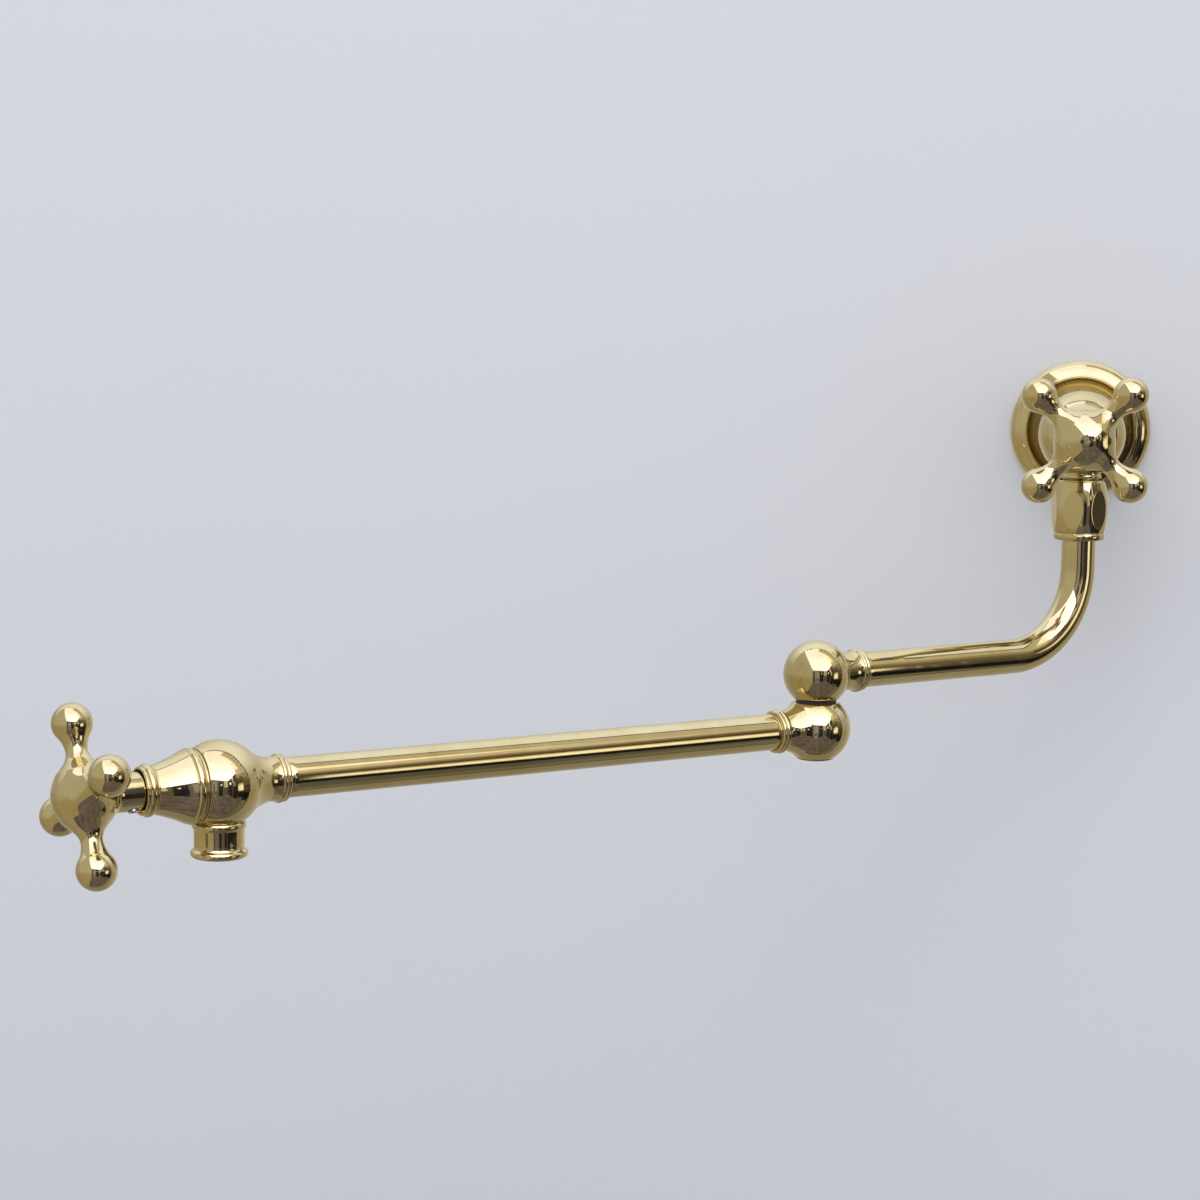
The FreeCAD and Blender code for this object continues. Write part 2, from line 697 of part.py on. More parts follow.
def build_swivel():
    place = frame(swivel_top, DOWN, OUT)
    spigot = outlet_bore - running_gap
    solder = tube_radius - tube_wall - seat_gap
    tail_top = tail_flange_top - tail_spigot_length
    tail_foot = tail_flange_foot + tail_socket_length
    tail = rod(spigot, tail_top, tail_flange_top)
    tail = tail.fuse(rod(tail_flange_radius, tail_flange_top, tail_flange_foot))
    tail = tail.fuse(rod(solder, tail_flange_foot, tail_foot))
    tail = tail.cut(rod(tail_bore, tail_top - 1, tail_foot + 1))
    ring_bottom = spigot - swivel_ring_section
    rings = []
    for height in swivel_ring_places:
        tail = tail.cut(groove(ring_bottom, spigot, swivel_ring_section, tail_flange_top - height))
        rings.append(rubber_ring(ring_bottom, swivel_ring_section, tail_flange_top - height))
    add("swivel_tail", tail, place)
    add("swivel_rings", Part.makeCompound(rings), place)
    outer = tail_flange_radius - 0.1
    upper_low = outlet_end + face_gap
    upper = ring(outlet_bore + 0.1, outer, upper_low, upper_low + swivel_washer_thickness)
    add("swivel_washer_top", upper, place)
    lower_low = tail_flange_foot + face_gap
    lower = ring(tube_radius + 0.1, outer, lower_low, lower_low + swivel_washer_thickness)
    add("swivel_washer_bottom", lower, place)


# ---- tubes ----
def disc_face(radius, middle, way):
    return Part.Face(Part.Wire(Part.makeCircle(radius, middle, way)))


def bent_bar(radius, end):
    """Round bar on the inner tube's middle line, from the swivel's tail to its end at the elbow."""
    top = swivel_top + DOWN * tail_flange_foot
    bend_start = inner_corner + UP * bend_radius
    bend_middle = bend_start + inner_way * bend_radius
    bend_end = inner_corner + inner_way * bend_radius
    drop = disc_face(radius, top, DOWN).extrude(bend_start - top)
    bend = disc_face(radius, bend_start, DOWN).revolve(bend_middle, DOWN.cross(inner_way), 90)
    arm = disc_face(radius, bend_end, inner_way).extrude(end - bend_end)
    return drop.fuse([bend, arm])


def build_inner_tube():
    """One bent tube: down from the swivel's tail, round the bend and out to the upper knuckle."""
    socket_end = inner_collar_reach + collar_width / 2 + 0.3 - socket_depth + seat_gap
    end = upper_middle - inner_way * socket_end
    tube = bent_bar(tube_radius, end).cut(bent_bar(tube_radius - tube_wall, end))
    add("inner_tube", tube, FreeCAD.Placement())


def build_outer_tube():
    mouth = collar_width / 2 + 0.3 - socket_depth + seat_gap
    start = lower_middle + outer_way * (outer_collar_reach + mouth)
    end = spout_middle - outer_way * (end_collar_reach + mouth)
    length = (end - start).Length
    add("outer_tube", ring(tube_radius - tube_wall, tube_radius, 0, length), frame(start, outer_way, UP))


# ---- elbow: two ball knuckles, one over the other, turning on a hollow stem ----
def build_upper_knuckle():
    place = frame(upper_middle, inner_way * -1, UP)
    root = chord_height(upper_ball_radius, neck_root_radius)
    waist = (root + inner_collar_reach) / 2
    knuckle = Part.makeSphere(upper_ball_radius)
    knuckle = knuckle.fuse(neck_and_collar(root, neck_root_radius, waist, inner_collar_reach))
    block = 2 * upper_ball_radius
    flat = Part.makeBox(2 * block, block, block, V(-block, -upper_flat - block, -block / 2))
    knuckle = knuckle.cut(flat)
    knuckle = knuckle.cut(tube_way(inner_collar_reach, 0))
    knuckle = knuckle.cut(placed(rod(pivot_thread_radius + seat_gap, pivot_thread_top, block), local_down))
    knuckle = knuckle.cut(placed(rod(waterway_radius, 0, pivot_thread_top + 1), local_down))
    knuckle = knuckle.cut(Part.makeSphere(waterway_radius))
    add("upper_knuckle", knuckle, place)


def build_lower_knuckle():
    place = frame(lower_middle, outer_way, UP)
    block = 2 * lower_ball_radius
    knuckle = Part.makeSphere(lower_ball_radius)
    low = outer_collar_reach - collar_width / 2
    knuckle = knuckle.fuse(neck_and_collar(lower_neck_start, lower_neck_radius, low - 0.8, outer_collar_reach))
    knuckle = knuckle.cut(Part.makeBox(2 * block, block, 2 * block, V(-block, lower_top, -block)))
    knuckle = knuckle.cut(Part.makeBox(2 * block, block, block, V(-block, cap_flat - block, -block / 2)))
    knuckle = knuckle.cut(tube_way(outer_collar_reach, 0))
    knuckle = knuckle.cut(placed(rod(pivot_radius + running_gap, -block, block), local_down))
    half = pivot_chamber_height / 2
    knuckle = knuckle.cut(placed(rod(pivot_chamber_radius, -half, half), local_down))
    knuckle = knuckle.cut(placed(rod(pivot_foot_radius, -foot_top, block), local_down))
    add("lower_knuckle", knuckle, place)


def build_pivot():
    """Hollow stem that carries the lower knuckle and lets the water through, and what is on it."""
    place = frame(lower_middle, UP, OUT)
    thread_top = elbow_drop - pivot_thread_top
    thread_foot = elbow_drop - upper_flat
    tip = pivot_clip_top - pivot_clip_thickness - pivot_tip
    half = pivot_chamber_height / 2
    stem = rod(pivot_thread_radius, thread_foot, thread_top)
    stem = stem.fuse(rod(pivot_radius, tip, thread_foot))
    stem = stem.cut(rod(pivot_bore, -half, thread_top + 1))
    for number in range(pivot_port_count):
        angle = math.radians(360 * number / pivot_port_count + inner_angle)
        way = V(math.cos(angle), math.sin(angle), 0)
        stem = stem.cut(placed(rod(pivot_port_radius, 0, pivot_radius + 1), frame(CENTRE, way, UP)))
    ring_bottom = pivot_radius - pivot_ring_section
    rings = []
    for height in (pivot_upper_ring, (foot_top - half) / 2):
        stem = stem.cut(groove(ring_bottom, pivot_radius, pivot_ring_section, height))
        rings.append(rubber_ring(ring_bottom, pivot_ring_section, height))
    clip_foot = pivot_clip_top - pivot_clip_thickness
    stem = stem.cut(ring(pivot_clip_groove, pivot_radius + 1, clip_foot, pivot_clip_top))
    add("pivot_stem", stem, place)
    add("pivot_rings", Part.makeCompound(rings), place)
    washer = ring(pivot_radius + seat_gap, pivot_washer_radius, pivot_clip_top, foot_top - face_gap)
    add("pivot_washer", washer, place)
    split = Part.makeBox(2 * pivot_clip_radius, pivot_clip_groove, 3 * pivot_clip_thickness,
                         V(0, -pivot_clip_groove / 2, clip_foot - pivot_clip_thickness))
    clip = ring(pivot_clip_groove + seat_gap, pivot_clip_radius, clip_foot, pivot_clip_top).cut(split)
    add("pivot_clip", clip, place)
    thrust = ring(pivot_radius + 0.1, elbow_washer_radius, lower_top + face_gap, thread_foot - face_gap)
    add("elbow_washer", thrust, place)
    cap = turned([
        (0, cap_flat + cap_spigot),
        (0, cap_flat - cap_lip - cap_dome),
        (cap_radius - 0.3, cap_flat - cap_lip, -cap_dome * 0.3),
        (cap_radius, cap_flat - cap_groove_height, 0.05),
        (cap_radius - cap_groove, cap_flat - cap_groove_height),
        (cap_radius - cap_groove, cap_flat),
        (pivot_foot_radius - seat_gap, cap_flat),
        (pivot_foot_radius - seat_gap, cap_flat + cap_spigot),
    ])
    add("pivot_cap", cap, place)


# ---- spout: a short nozzle under the end valve, with its aerator ----
def build_spout():
    place = frame(spout_middle, DOWN, OUT)
    bead_end = spout_flat + spout_bead_height
    bead_edge = spout_bead_radius - 0.7
    rim_middle = spout_rim_radius - spout_rim_section
    pocket_top = aerator_top - aerator_washer_thickness
    rim_start = spout_rim_depth - spout_rim_section * 0.8
    nozzle = turned([
        (spout_bore, spout_flat - spout_thread_length),
        (spout_thread_radius, spout_flat - spout_thread_length),
        (spout_thread_radius, spout_flat),
        (bead_edge, spout_flat),
        (bead_edge, bead_end, -0.7),
        (spout_waist_radius, spout_waist_depth, 0.05),
        (rim_middle + spout_rim_section * 0.6, rim_start, 0.35),
        (rim_middle, spout_foot, (spout_rim_radius, spout_rim_depth)),
        (aerator_radius + seat_gap, spout_foot - 0.5, -0.1),
        (aerator_radius + seat_gap, pocket_top),
        (spout_bore, pocket_top),
    ])
    add("spout_nozzle", nozzle, place)
    washer = ring(spout_bore + 0.3, aerator_radius - 0.1, pocket_top, aerator_top)
    add("aerator_washer", washer, place)
    inside = aerator_radius - aerator_wall
    add("aerator_housing", ring(inside, aerator_radius, aerator_top, aerator_face), place)
    disc = inside - seat_gap
    mesh_foot = aerator_face - mesh_recess
    mesh_top = mesh_foot - mesh_thickness
    mesh = rod(disc, mesh_top, mesh_foot)
    mesh = mesh.cut(hole_field(disc, mesh_hole_pitch, mesh_hole_radius, mesh_top, mesh_foot))
    add("aerator_mesh", mesh, place)
    plug_top = aerator_top + straightener_recess
    plug_foot = plug_top + straightener_height
    plug = rod(disc, plug_top, plug_foot)
    plug = plug.cut(hole_field(disc, straightener_hole_pitch, straightener_hole_radius, plug_top, plug_foot))
    add("flow_straightener", plug, place)


build_flange()
build_wall_valve_body()
build_valve_head("wall", swivel_top, OUT, wall_seat, wall_handle_turn)
build_union_nut()
build_swivel()
build_inner_tube()
build_upper_knuckle()
build_pivot()
build_lower_knuckle()
build_outer_tube()
build_end_valve_body()
build_valve_head("end", spout_middle, outer_way, end_seat, end_handle_turn)
build_spout()

os.makedirs("parts", exist_ok=True)
for node, shape in pieces.items():
    shape.exportStep("parts/" + node + ".step")
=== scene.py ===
import bmesh
import bpy
import math
import numpy as np
from mathutils import Matrix, Vector


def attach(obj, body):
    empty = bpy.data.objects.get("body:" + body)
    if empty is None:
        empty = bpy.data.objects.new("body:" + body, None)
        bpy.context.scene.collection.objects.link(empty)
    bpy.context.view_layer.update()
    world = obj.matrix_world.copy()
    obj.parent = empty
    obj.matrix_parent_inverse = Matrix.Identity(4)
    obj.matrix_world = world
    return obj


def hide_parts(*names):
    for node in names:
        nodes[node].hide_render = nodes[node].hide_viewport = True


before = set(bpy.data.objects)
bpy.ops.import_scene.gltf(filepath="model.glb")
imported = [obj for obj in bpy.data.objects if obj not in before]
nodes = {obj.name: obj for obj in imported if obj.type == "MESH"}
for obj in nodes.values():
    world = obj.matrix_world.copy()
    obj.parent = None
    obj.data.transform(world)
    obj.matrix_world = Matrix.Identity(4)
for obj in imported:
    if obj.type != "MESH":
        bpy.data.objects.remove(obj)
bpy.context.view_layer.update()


# ---- Wall flange ----
# A cup spun from brass sheet, with a flat dish round its middle and a collar that slides over the
# valve's neck. It was buffed on the lathe and left unlacquered. A rubber gasket lies behind it and
# a rubber ring grips the neck.

# How finely arcs are drawn, and which corners count as sharp and how far they are rounded, in mm.
widest_turn, longest_step = math.radians(4.5), 0.7
sharp_turn, softness = math.radians(13), 0.16
to_metres = 0.001


def arc(start, middle, end):
    """Points of the arc through three points, without the first one."""
    (ax, ay), (bx, by), (cx, cy) = start, middle, end
    a_square, b_square, c_square = ax * ax + ay * ay, bx * bx + by * by, cx * cx + cy * cy
    twice = 2 * (ax * (by - cy) + bx * (cy - ay) + cx * (ay - by))
    mx = (a_square * (by - cy) + b_square * (cy - ay) + c_square * (ay - by)) / twice
    my = (a_square * (cx - bx) + b_square * (ax - cx) + c_square * (bx - ax)) / twice
    radius = math.hypot(ax - mx, ay - my)
    first, half, last = [math.atan2(y - my, x - mx) for x, y in (start, middle, end)]
    sweep = (last - first) % math.tau
    if (half - first) % math.tau > sweep:
        sweep -= math.tau
    size = abs(sweep)
    steps = max(4, math.ceil(size / widest_turn), math.ceil(size * radius / longest_step))
    turns = [first + sweep * step / steps for step in range(1, steps + 1)]
    return [(mx + radius * math.cos(turn), my + radius * math.sin(turn)) for turn in turns]


def softened(line):
    """The same line with each sharp corner rounded off, as buffing leaves it."""
    points = np.array(line, float)
    steps = np.diff(points, axis=0)
    lengths = np.hypot(steps[:, 0], steps[:, 1])
    points = points[np.concatenate(([True], lengths > 1e-6))]
    steps = np.diff(points, axis=0)
    lengths = np.hypot(steps[:, 0], steps[:, 1])
    way = np.concatenate(([0.0], np.cumsum(lengths)))
    heading = np.unwrap(np.arctan2(steps[:, 1], steps[:, 0]))
    turns = np.abs(np.diff(heading))
    corners = [number + 1 for number, turn in enumerate(turns) if turn > sharp_turn]
    stops = [0.0] + [way[number] for number in corners] + [way[-1]]

    def at(distance):
        return np.array([np.interp(distance, way, points[:, axis]) for axis in (0, 1)])

    made, done = [points[0]], 0.0
    for number, corner in enumerate(corners):
        here = way[corner]
        size = min(softness, 0.45 * (here - stops[number]), 0.45 * (stops[number + 2] - here))
        made += [p for p, s in zip(points, way) if done < s < here - size]
        before, after = at(here - size), at(here + size)
        for share in np.linspace(0, 1, 6):
            rest = 1 - share
            made.append(before * rest ** 2 + points[corner] * 2 * share * rest + after * share ** 2)
        done = here + size
    made += [p for p, s in zip(points, way) if s > done]
    # A point beside each end of a long run keeps the run's shading straight.
    beside, long_run = 0.1, 0.5
    close = [made[0]]
    for start, end in zip(made, made[1:]):
        length = float(np.hypot(*(end - start)))
        if length > long_run:
            step = (end - start) * beside / length
            close += [start + step, end - step]
        close.append(end)
    return close


def outline(corners):
    """A turned piece's section in mm, from (radius, along) corners. A third value bows the run that
    ends at its corner: a number is the height of the bow to the left, a pair is a point that the
    arc goes through."""
    runs = []
    for number, corner in enumerate(corners):
        start, end = corners[number - 1][:2], corner[:2]
        if max(start[0], end[0]) < 1e-9:
            runs.append(None)
        elif len(corner) == 2:
            runs.append([end])
        elif isinstance(corner[2], tuple):
            runs.append(arc(start, corner[2], end))
        else:
            dx, dy = end[0] - start[0], end[1] - start[1]
            size = math.hypot(dx, dy)
            middle = ((start[0] + end[0]) / 2 - dy / size * corner[2],
                      (start[1] + end[1]) / 2 + dx / size * corner[2])
            runs.append(arc(start, middle, end))
    open_at = runs.index(None) if None in runs else None
    if open_at is None:
        flat = [number for number, run in enumerate(runs) if len(run) == 1]
        longest = max(flat, key=lambda n: math.dist(corners[n - 1][:2], corners[n][:2]))
        start, end = corners[longest - 1][:2], corners[longest][:2]
        middle = ((start[0] + end[0]) / 2, (start[1] + end[1]) / 2)
        order = runs[longest + 1:] + runs[:longest]
        line = [middle, end] + [point for run in order for point in run] + [middle]
    else:
        order = runs[open_at + 1:] + runs[:open_at]
        line = [corners[open_at][:2]] + [point for run in order for point in run]
    return softened(line), open_at is None


def added(name, data):
    """A new object in the scene."""
    piece = bpy.data.objects.new(name, data)
    bpy.context.scene.collection.objects.link(piece)
    return piece


def placed(mesh, finish, place):
    """A piece with its mesh set in its place. Each point keeps where it is on the piece itself,
    for the finish."""
    mesh.materials.append(finish)
    points = np.empty(3 * len(mesh.vertices), np.float32)
    mesh.vertices.foreach_get("co", points)
    mesh.attributes.new("own_place", "FLOAT_VECTOR", "POINT").data.foreach_set("vector", points)
    mesh.transform(place)
    return added(mesh.name, mesh)


def mesh_of(name, vertices, faces, finish, place):
    """A smooth piece from points in mm, with its finish, set in its place."""
    mesh = bpy.data.meshes.new(name)
    mesh.from_pydata([tuple(float(x) * to_metres for x in v) for v in vertices], [], faces)
    work = bmesh.new()
    work.from_mesh(mesh)
    bmesh.ops.remove_doubles(work, verts=work.verts, dist=2e-7)
    bmesh.ops.recalc_face_normals(work, faces=work.faces)
    work.to_mesh(mesh)
    work.free()
    mesh.shade_smooth()
    return placed(mesh, finish, place)


def ring(radii, along, around):
    """Points of a ring about local Z. It has one radius, or one for each point."""
    angles = np.linspace(0, math.tau, around, endpoint=False)
    return [(r * math.cos(a), r * math.sin(a), along)
            for r, a in zip(np.broadcast_to(radii, around), angles)]


def ring_faces(pairs, around):
    """Four-cornered faces between pairs of rings, each of so many points."""
    faces = []
    for low, high in pairs:
        for side in range(around):
            beside = (side + 1) % around
            faces.append((low * around + side, low * around + beside,
                          high * around + beside, high * around + side))
    return faces


def turned(sections, around=160):
    """Points and faces of sections turned about local Z."""
    vertices, pairs = [], []
    for line, closed in sections:
        base, count = len(vertices) // around, len(line)
        for radius, along in line:
            vertices += ring(radius, along, around)
        pairs += [(base + row, base + (row + 1) % count)
                  for row in range(count if closed else count - 1)]
    return vertices, ring_faces(pairs, around)


def seated(origin, axis, up):
    """Place whose local Z is axis and whose local Y is up, at a point in mm."""
    axis, up = Vector(axis), Vector(up)
    side = up.cross(axis)
    place = Matrix((side, up, axis)).transposed().to_4x4()
    place.translation = Vector(origin) * to_metres
    return place


def feed(made, inputs):
    """Gives a shader node its inputs, each a value or another node's socket."""
    for name, value in inputs.items():
        if isinstance(value, bpy.types.NodeSocket):
            made.id_data.links.new(value, made.inputs[name])
        else:
            made.inputs[name].default_value = value


def node(tree, kind, inputs=None, **settings):
    made = tree.nodes.new(kind)
    for name, value in settings.items():
        setattr(made, name, value)
    feed(made, inputs or {})
    return made


def calc(tree, operation, *values):
    return node(tree, "ShaderNodeMath", dict(enumerate(values)), operation=operation).outputs[0]


def times(tree, first, second):
    return calc(tree, "MULTIPLY", first, second)


def plus(tree, first, second):
    return calc(tree, "ADD", first, second)


def larger(tree, first, second):
    return calc(tree, "MAXIMUM", first, second)


def spread(tree, value, low, high, new_low=0.0, new_high=1.0):
    """A value taken from one range to another, held inside it."""
    return node(tree, "ShaderNodeMapRange", {
        "Value": value, "From Min": low, "From Max": high, "To Min": new_low,
        "To Max": new_high}).outputs["Result"]


def noise(tree, vector, scale, detail, rough=0.55, **inputs):
    """Soft random patches: how strong they are at each point, from 0 to 1."""
    return node(tree, "ShaderNodeTexNoise", {
        "Vector": vector, "Scale": scale, "Detail": detail, "Roughness": rough,
        **inputs}).outputs["Fac"]


def in_mm(tree, place):
    """A place given in metres, in mm."""
    return node(tree, "ShaderNodeVectorMath", {0: place, "Scale": 1000.0},
                operation="SCALE").outputs[0]


def bumped(tree, height):
    """Normal of a surface with small heights on it, in mm."""
    return node(tree, "ShaderNodeBump", {"Strength": 1.0, "Distance": to_metres,
                                         "Height": height}).outputs[0]


def blended(tree, share, first, second):
    """The first colour, turned to the second by a share."""
    return node(tree, "ShaderNodeMix", {0: share, 6: first, 7: second},
                data_type="RGBA").outputs[2]


def effect(name, inputs, outputs):
    """An empty effect: (tree, its inputs, its output node). An input without a value is a place."""
    tree = bpy.data.node_groups.new(name, "ShaderNodeTree")
    for label, value in inputs.items():
        kind = "NodeSocketVector" if value is None else "NodeSocketFloat"
        socket = tree.interface.new_socket(label, in_out="INPUT", socket_type=kind)
        if value is not None:
            socket.default_value = value
    for label in outputs:
        tree.interface.new_socket(label, in_out="OUTPUT", socket_type="NodeSocketFloat")
    return tree, tree.nodes.new("NodeGroupInput").outputs, tree.nodes.new("NodeGroupOutput")


def use(tree, group, **inputs):
    """One effect placed in a material, with that material's own values."""
    inputs = {name.capitalize(): value for name, value in inputs.items()}
    return node(tree, "ShaderNodeGroup", inputs, node_tree=group).outputs


def material_of(name):
    """A new material: (material, its tree, its shader)."""
    material = bpy.data.materials.new(name)
    material.use_nodes = True
    tree = material.node_tree
    return material, tree, tree.nodes["Principled BSDF"]


# Buffing lines: fine hairlines that run the way the wheel went, with a few deeper ones.
buffing, given, out = effect("buffing lines", {"Way": None, "Depth": 1.0}, ("Height", "Lines"))
fine = noise(buffing, given["Way"], 9.0, 5.0, 0.7)
coarse = noise(buffing, given["Way"], 2.2, 2.0, 0.5)
deep = spread(buffing, noise(buffing, given["Way"], 4.3, 2.0, 0.6), 0.62, 0.72)
both = plus(buffing, times(buffing, fine, 0.5), times(buffing, coarse, 0.5))
height = calc(buffing, "SUBTRACT", both, times(buffing, deep, 0.35))
feed(out, {"Height": times(buffing, height, given["Depth"]),
           "Lines": larger(buffing, deep, spread(buffing, both, 0.52, 0.7))})

# Handling: dull smears and the dotted ridges of fingertips, where bare brass has been touched.
handling, given, out = effect("handling", {"Place": None, "Amount": 0.5}, ("Smears", "Prints"))
smear = noise(handling, given["Place"], 0.09, 4.0, 0.6, Distortion=1.6)
smears = times(handling, spread(handling, smear, 0.5, 0.72), given["Amount"])
where = noise(handling, given["Place"], 0.06, 1.0, 0.5)
ridge = node(handling, "ShaderNodeTexWave", {
    "Vector": given["Place"], "Scale": 0.42, "Distortion": 6.0, "Detail": 2.0,
    "Detail Scale": 0.35}, wave_type="RINGS").outputs["Fac"]
prints = times(handling, spread(handling, where, 0.58, 0.66), spread(handling, ridge, 0.45, 0.8))
feed(out, {"Smears": smears, "Prints": times(handling, prints, given["Amount"])})

# Ageing: bare brass darkens a little in its hollows and seams, and rubs bright on its edges.
ageing, given, out = effect("ageing", {"Place": None, "Amount": 0.5}, ("Dark", "Bright"))
edge = ageing.nodes.new("ShaderNodeNewGeometry").outputs["Pointiness"]
patch = noise(ageing, given["Place"], 0.5, 4.0, 0.6)
hollow = times(ageing, spread(ageing, edge, 0.49, 0.44), spread(ageing, patch, 0.3, 0.6, 0.5, 1.0))
cloud = noise(ageing, given["Place"], 0.045, 5.0, 0.62, Distortion=0.7)
darkened = larger(ageing, hollow, spread(ageing, cloud, 0.52, 0.75, 0.0, 0.4))
feed(out, {"Dark": times(ageing, darkened, given["Amount"]),
           "Bright": times(ageing, spread(ageing, edge, 0.515, 0.56), given["Amount"])})

pale_brass = (0.72, 0.61, 0.325, 1)
warm_brass = (0.655, 0.535, 0.24, 1)
dark_brass = (0.34, 0.25, 0.085, 1)
rubbed_brass = (0.82, 0.73, 0.46, 1)


def polished_brass(name, marks, lines, ripple, aged, ripple_size=0.16, touched=0.5, dull=0.035,
                   unbuffed_and_shaded=None):
    """Bare polished brass under a hazy film. marks says which way the buffing went: round the
    piece, along it, or all ways. Between the two radii of the band given last the wheel couldn't
    reach: there the brass stays duller, and its colour is darkened as painted shade in the recess."""
    material, tree, brass = material_of(name)
    feed(brass, {"Metallic": 1.0, "Specular Tint": (0.80, 0.78, 0.68, 1), "Coat Roughness": 0.38,
                 "Coat IOR": 1.6})
    own_place = node(tree, "ShaderNodeAttribute", attribute_name="own_place").outputs["Vector"]
    place = in_mm(tree, own_place)
    x, y, z = node(tree, "ShaderNodeSeparateXYZ", {0: place}).outputs
    if marks == "round":
        from_axis = calc(tree, "SQRT", plus(tree, times(tree, x, x), times(tree, y, y)))
        parts = {0: times(tree, calc(tree, "ARCTAN2", y, x), 0.35), 1: from_axis, 2: z}
    elif marks == "along":
        parts = {0: x, 1: y, 2: times(tree, z, 0.03)}
    else:
        parts = {0: times(tree, x, 0.25), 1: y, 2: z}
    way = node(tree, "ShaderNodeCombineXYZ", parts).outputs[0]
    buffed = use(tree, buffing, way=way, depth=lines)
    handled = use(tree, handling, place=place, amount=touched)
    old = use(tree, ageing, place=place, amount=aged)
    tone = spread(tree, noise(tree, place, 0.055, 4.0, 0.6), 0.35, 0.68)
    colour = blended(tree, tone, pale_brass, warm_brass)
    colour = blended(tree, old["Bright"], colour, rubbed_brass)
    colour = blended(tree, old["Dark"], colour, dark_brass)
    rough = plus(tree, dull, times(tree, buffed["Lines"], 0.03))
    if unbuffed_and_shaded:
        inner, outer = unbuffed_and_shaded
        # Painted shade: the band's colour is turned towards dark brass. Its extra roughness is the
        # duller finish the wheel left.
        dull_and_shaded = times(tree, spread(tree, from_axis, inner - 0.5, inner + 0.5),
                       spread(tree, from_axis, outer + 0.7, outer - 0.7))
        colour = blended(tree, times(tree, dull_and_shaded, 0.8), colour, dark_brass)
        rough = plus(tree, rough, times(tree, dull_and_shaded, 0.16))
    film = noise(tree, place, 0.12, 4.0, 0.6, Distortion=0.8)
    for wear, amount in ((handled["Smears"], 0.10), (handled["Prints"], 0.09), (old["Dark"], 0.12)):
        rough = plus(tree, rough, times(tree, wear, amount))
    wave = times(tree, noise(tree, place, ripple_size, 2.0, 0.45), ripple)
    grain = times(tree, buffed["Height"], 0.00022)
    feed(brass, {"Base Color": colour, "Coat Weight": spread(tree, film, 0.3, 0.7, 0.45, 0.95),
                 "Roughness": rough, "Normal": bumped(tree, plus(tree, wave, grain))})
    return material


flange_sheet, flange_rim, dish_top, crown_top = 1.6, 33.5, 6, 9.7
neck_bore, collar_foot, collar_top = 13.05, 8, 12
dish_inner, dish_outer = 18, 20.5
turned_brass = polished_brass("turned brass", "round", lines=0.12, ripple=0.004, aged=0.8)
# Between these radii the flange's recess is duller, and darkened with painted shade.
sheet_brass = polished_brass("spun brass", "round", lines=0.9, ripple=0.012, ripple_size=0.09,
                             touched=0.6, aged=0.7, unbuffed_and_shaded=(15.5, 24.6))

flange_section = [
    (neck_bore, collar_foot), (neck_bore, collar_top), (15, collar_top), (16, 11, 0.29),
    (16, collar_foot), (dish_inner, dish_top, -0.58), (dish_outer, dish_top),
    (25.2, crown_top, -1.1), (26.8, crown_top, 0.45), (flange_rim, 2.2, 1.5), (flange_rim, 0),
    (flange_rim - flange_sheet, 0), (flange_rim - flange_sheet, 1.8),
    (26.5, crown_top - flange_sheet, -1.5), (25.5, crown_top - flange_sheet),
    (dish_outer, dish_top - flange_sheet, 0.9), (neck_bore + 3, dish_top - flange_sheet),
    (neck_bore + 3, collar_foot)]
forward, upward = (0, -1, 0), (0, 0, 1)
out_of_wall = seated((0, 0, 0), forward, upward)
wall_flange = mesh_of("wall_flange_polished", *turned([outline(flange_section)], 220), sheet_brass,
                      out_of_wall)
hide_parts("wall_flange")
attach(wall_flange, "wall_mount")


def plain(name, colour, other, rough, bump_size, bump_scale, metal=0.0):
    """Finish of a piece inside the fitting: two tones in patches and a fine surface of its own."""
    material, tree, shader = material_of(name)
    place = in_mm(tree, node(tree, "ShaderNodeTexCoord").outputs["Object"])
    patch = spread(tree, noise(tree, place, 0.25, 4.0, 0.6), 0.4, 0.65)
    fine = times(tree, noise(tree, place, bump_scale, 4.0, 0.6), bump_size)
    feed(shader, {"Metallic": metal, "Roughness": plus(tree, rough, times(tree, patch, 0.08)),
                  "Base Color": blended(tree, patch, (*colour, 1), (*other, 1)),
                  "Normal": bumped(tree, fine)})
    return material


def finished(material, *names):
    """Gives pieces that keep their own shape a finish."""
    for name in names:
        slots = nodes[name].data.materials
        slots.clear()
        slots.append(material)


black_rubber = plain("black rubber", (0.022, 0.022, 0.023), (0.035, 0.034, 0.033), 0.55, 0.02, 1.8)
finished(black_rubber, "flange_gasket", "flange_grip_ring")


# ---- Wall valve's body ----
# A brass casting turned to a ball, with the water's threaded inlet behind, a smooth neck for the
# flange, and a threaded outlet below that the union nut screws on. The mouth in front holds the
# cartridge.
wall_ball, seat_flat, neck = 20.3, 14.5, 13.0
swivel_top = (0, -46, 0)
wall_seat = math.sqrt(wall_ball ** 2 - seat_flat ** 2)
neck_start = -math.sqrt(wall_ball ** 2 - neck ** 2)
inlet_end, inlet_start, relief_end, relief = -68.0, -45.5, -43.0, 9.6
inlet_bore, mouth_bore, mouth_floor = 5.5, 10.5, wall_seat - 5.3
ball_section = [
    (inlet_bore, inlet_start), (relief, inlet_start), (relief, relief_end),
    (neck - 0.6, relief_end), (neck, relief_end + 0.6), (neck, neck_start),
    (seat_flat, wall_seat, (wall_ball, 0)), (mouth_bore, wall_seat), (mouth_bore, mouth_floor),
    (inlet_bore, mouth_floor)]
thread_pitch = 1.814
inlet_thread, inlet_thread_depth = 10.46, 1.0
outlet_thread, outlet_thread_depth = 9.98, 0.9
outlet_bore, outlet_neck, outlet_shoulder, outlet_end = 6.5, 9.4, 21.4, 31.9


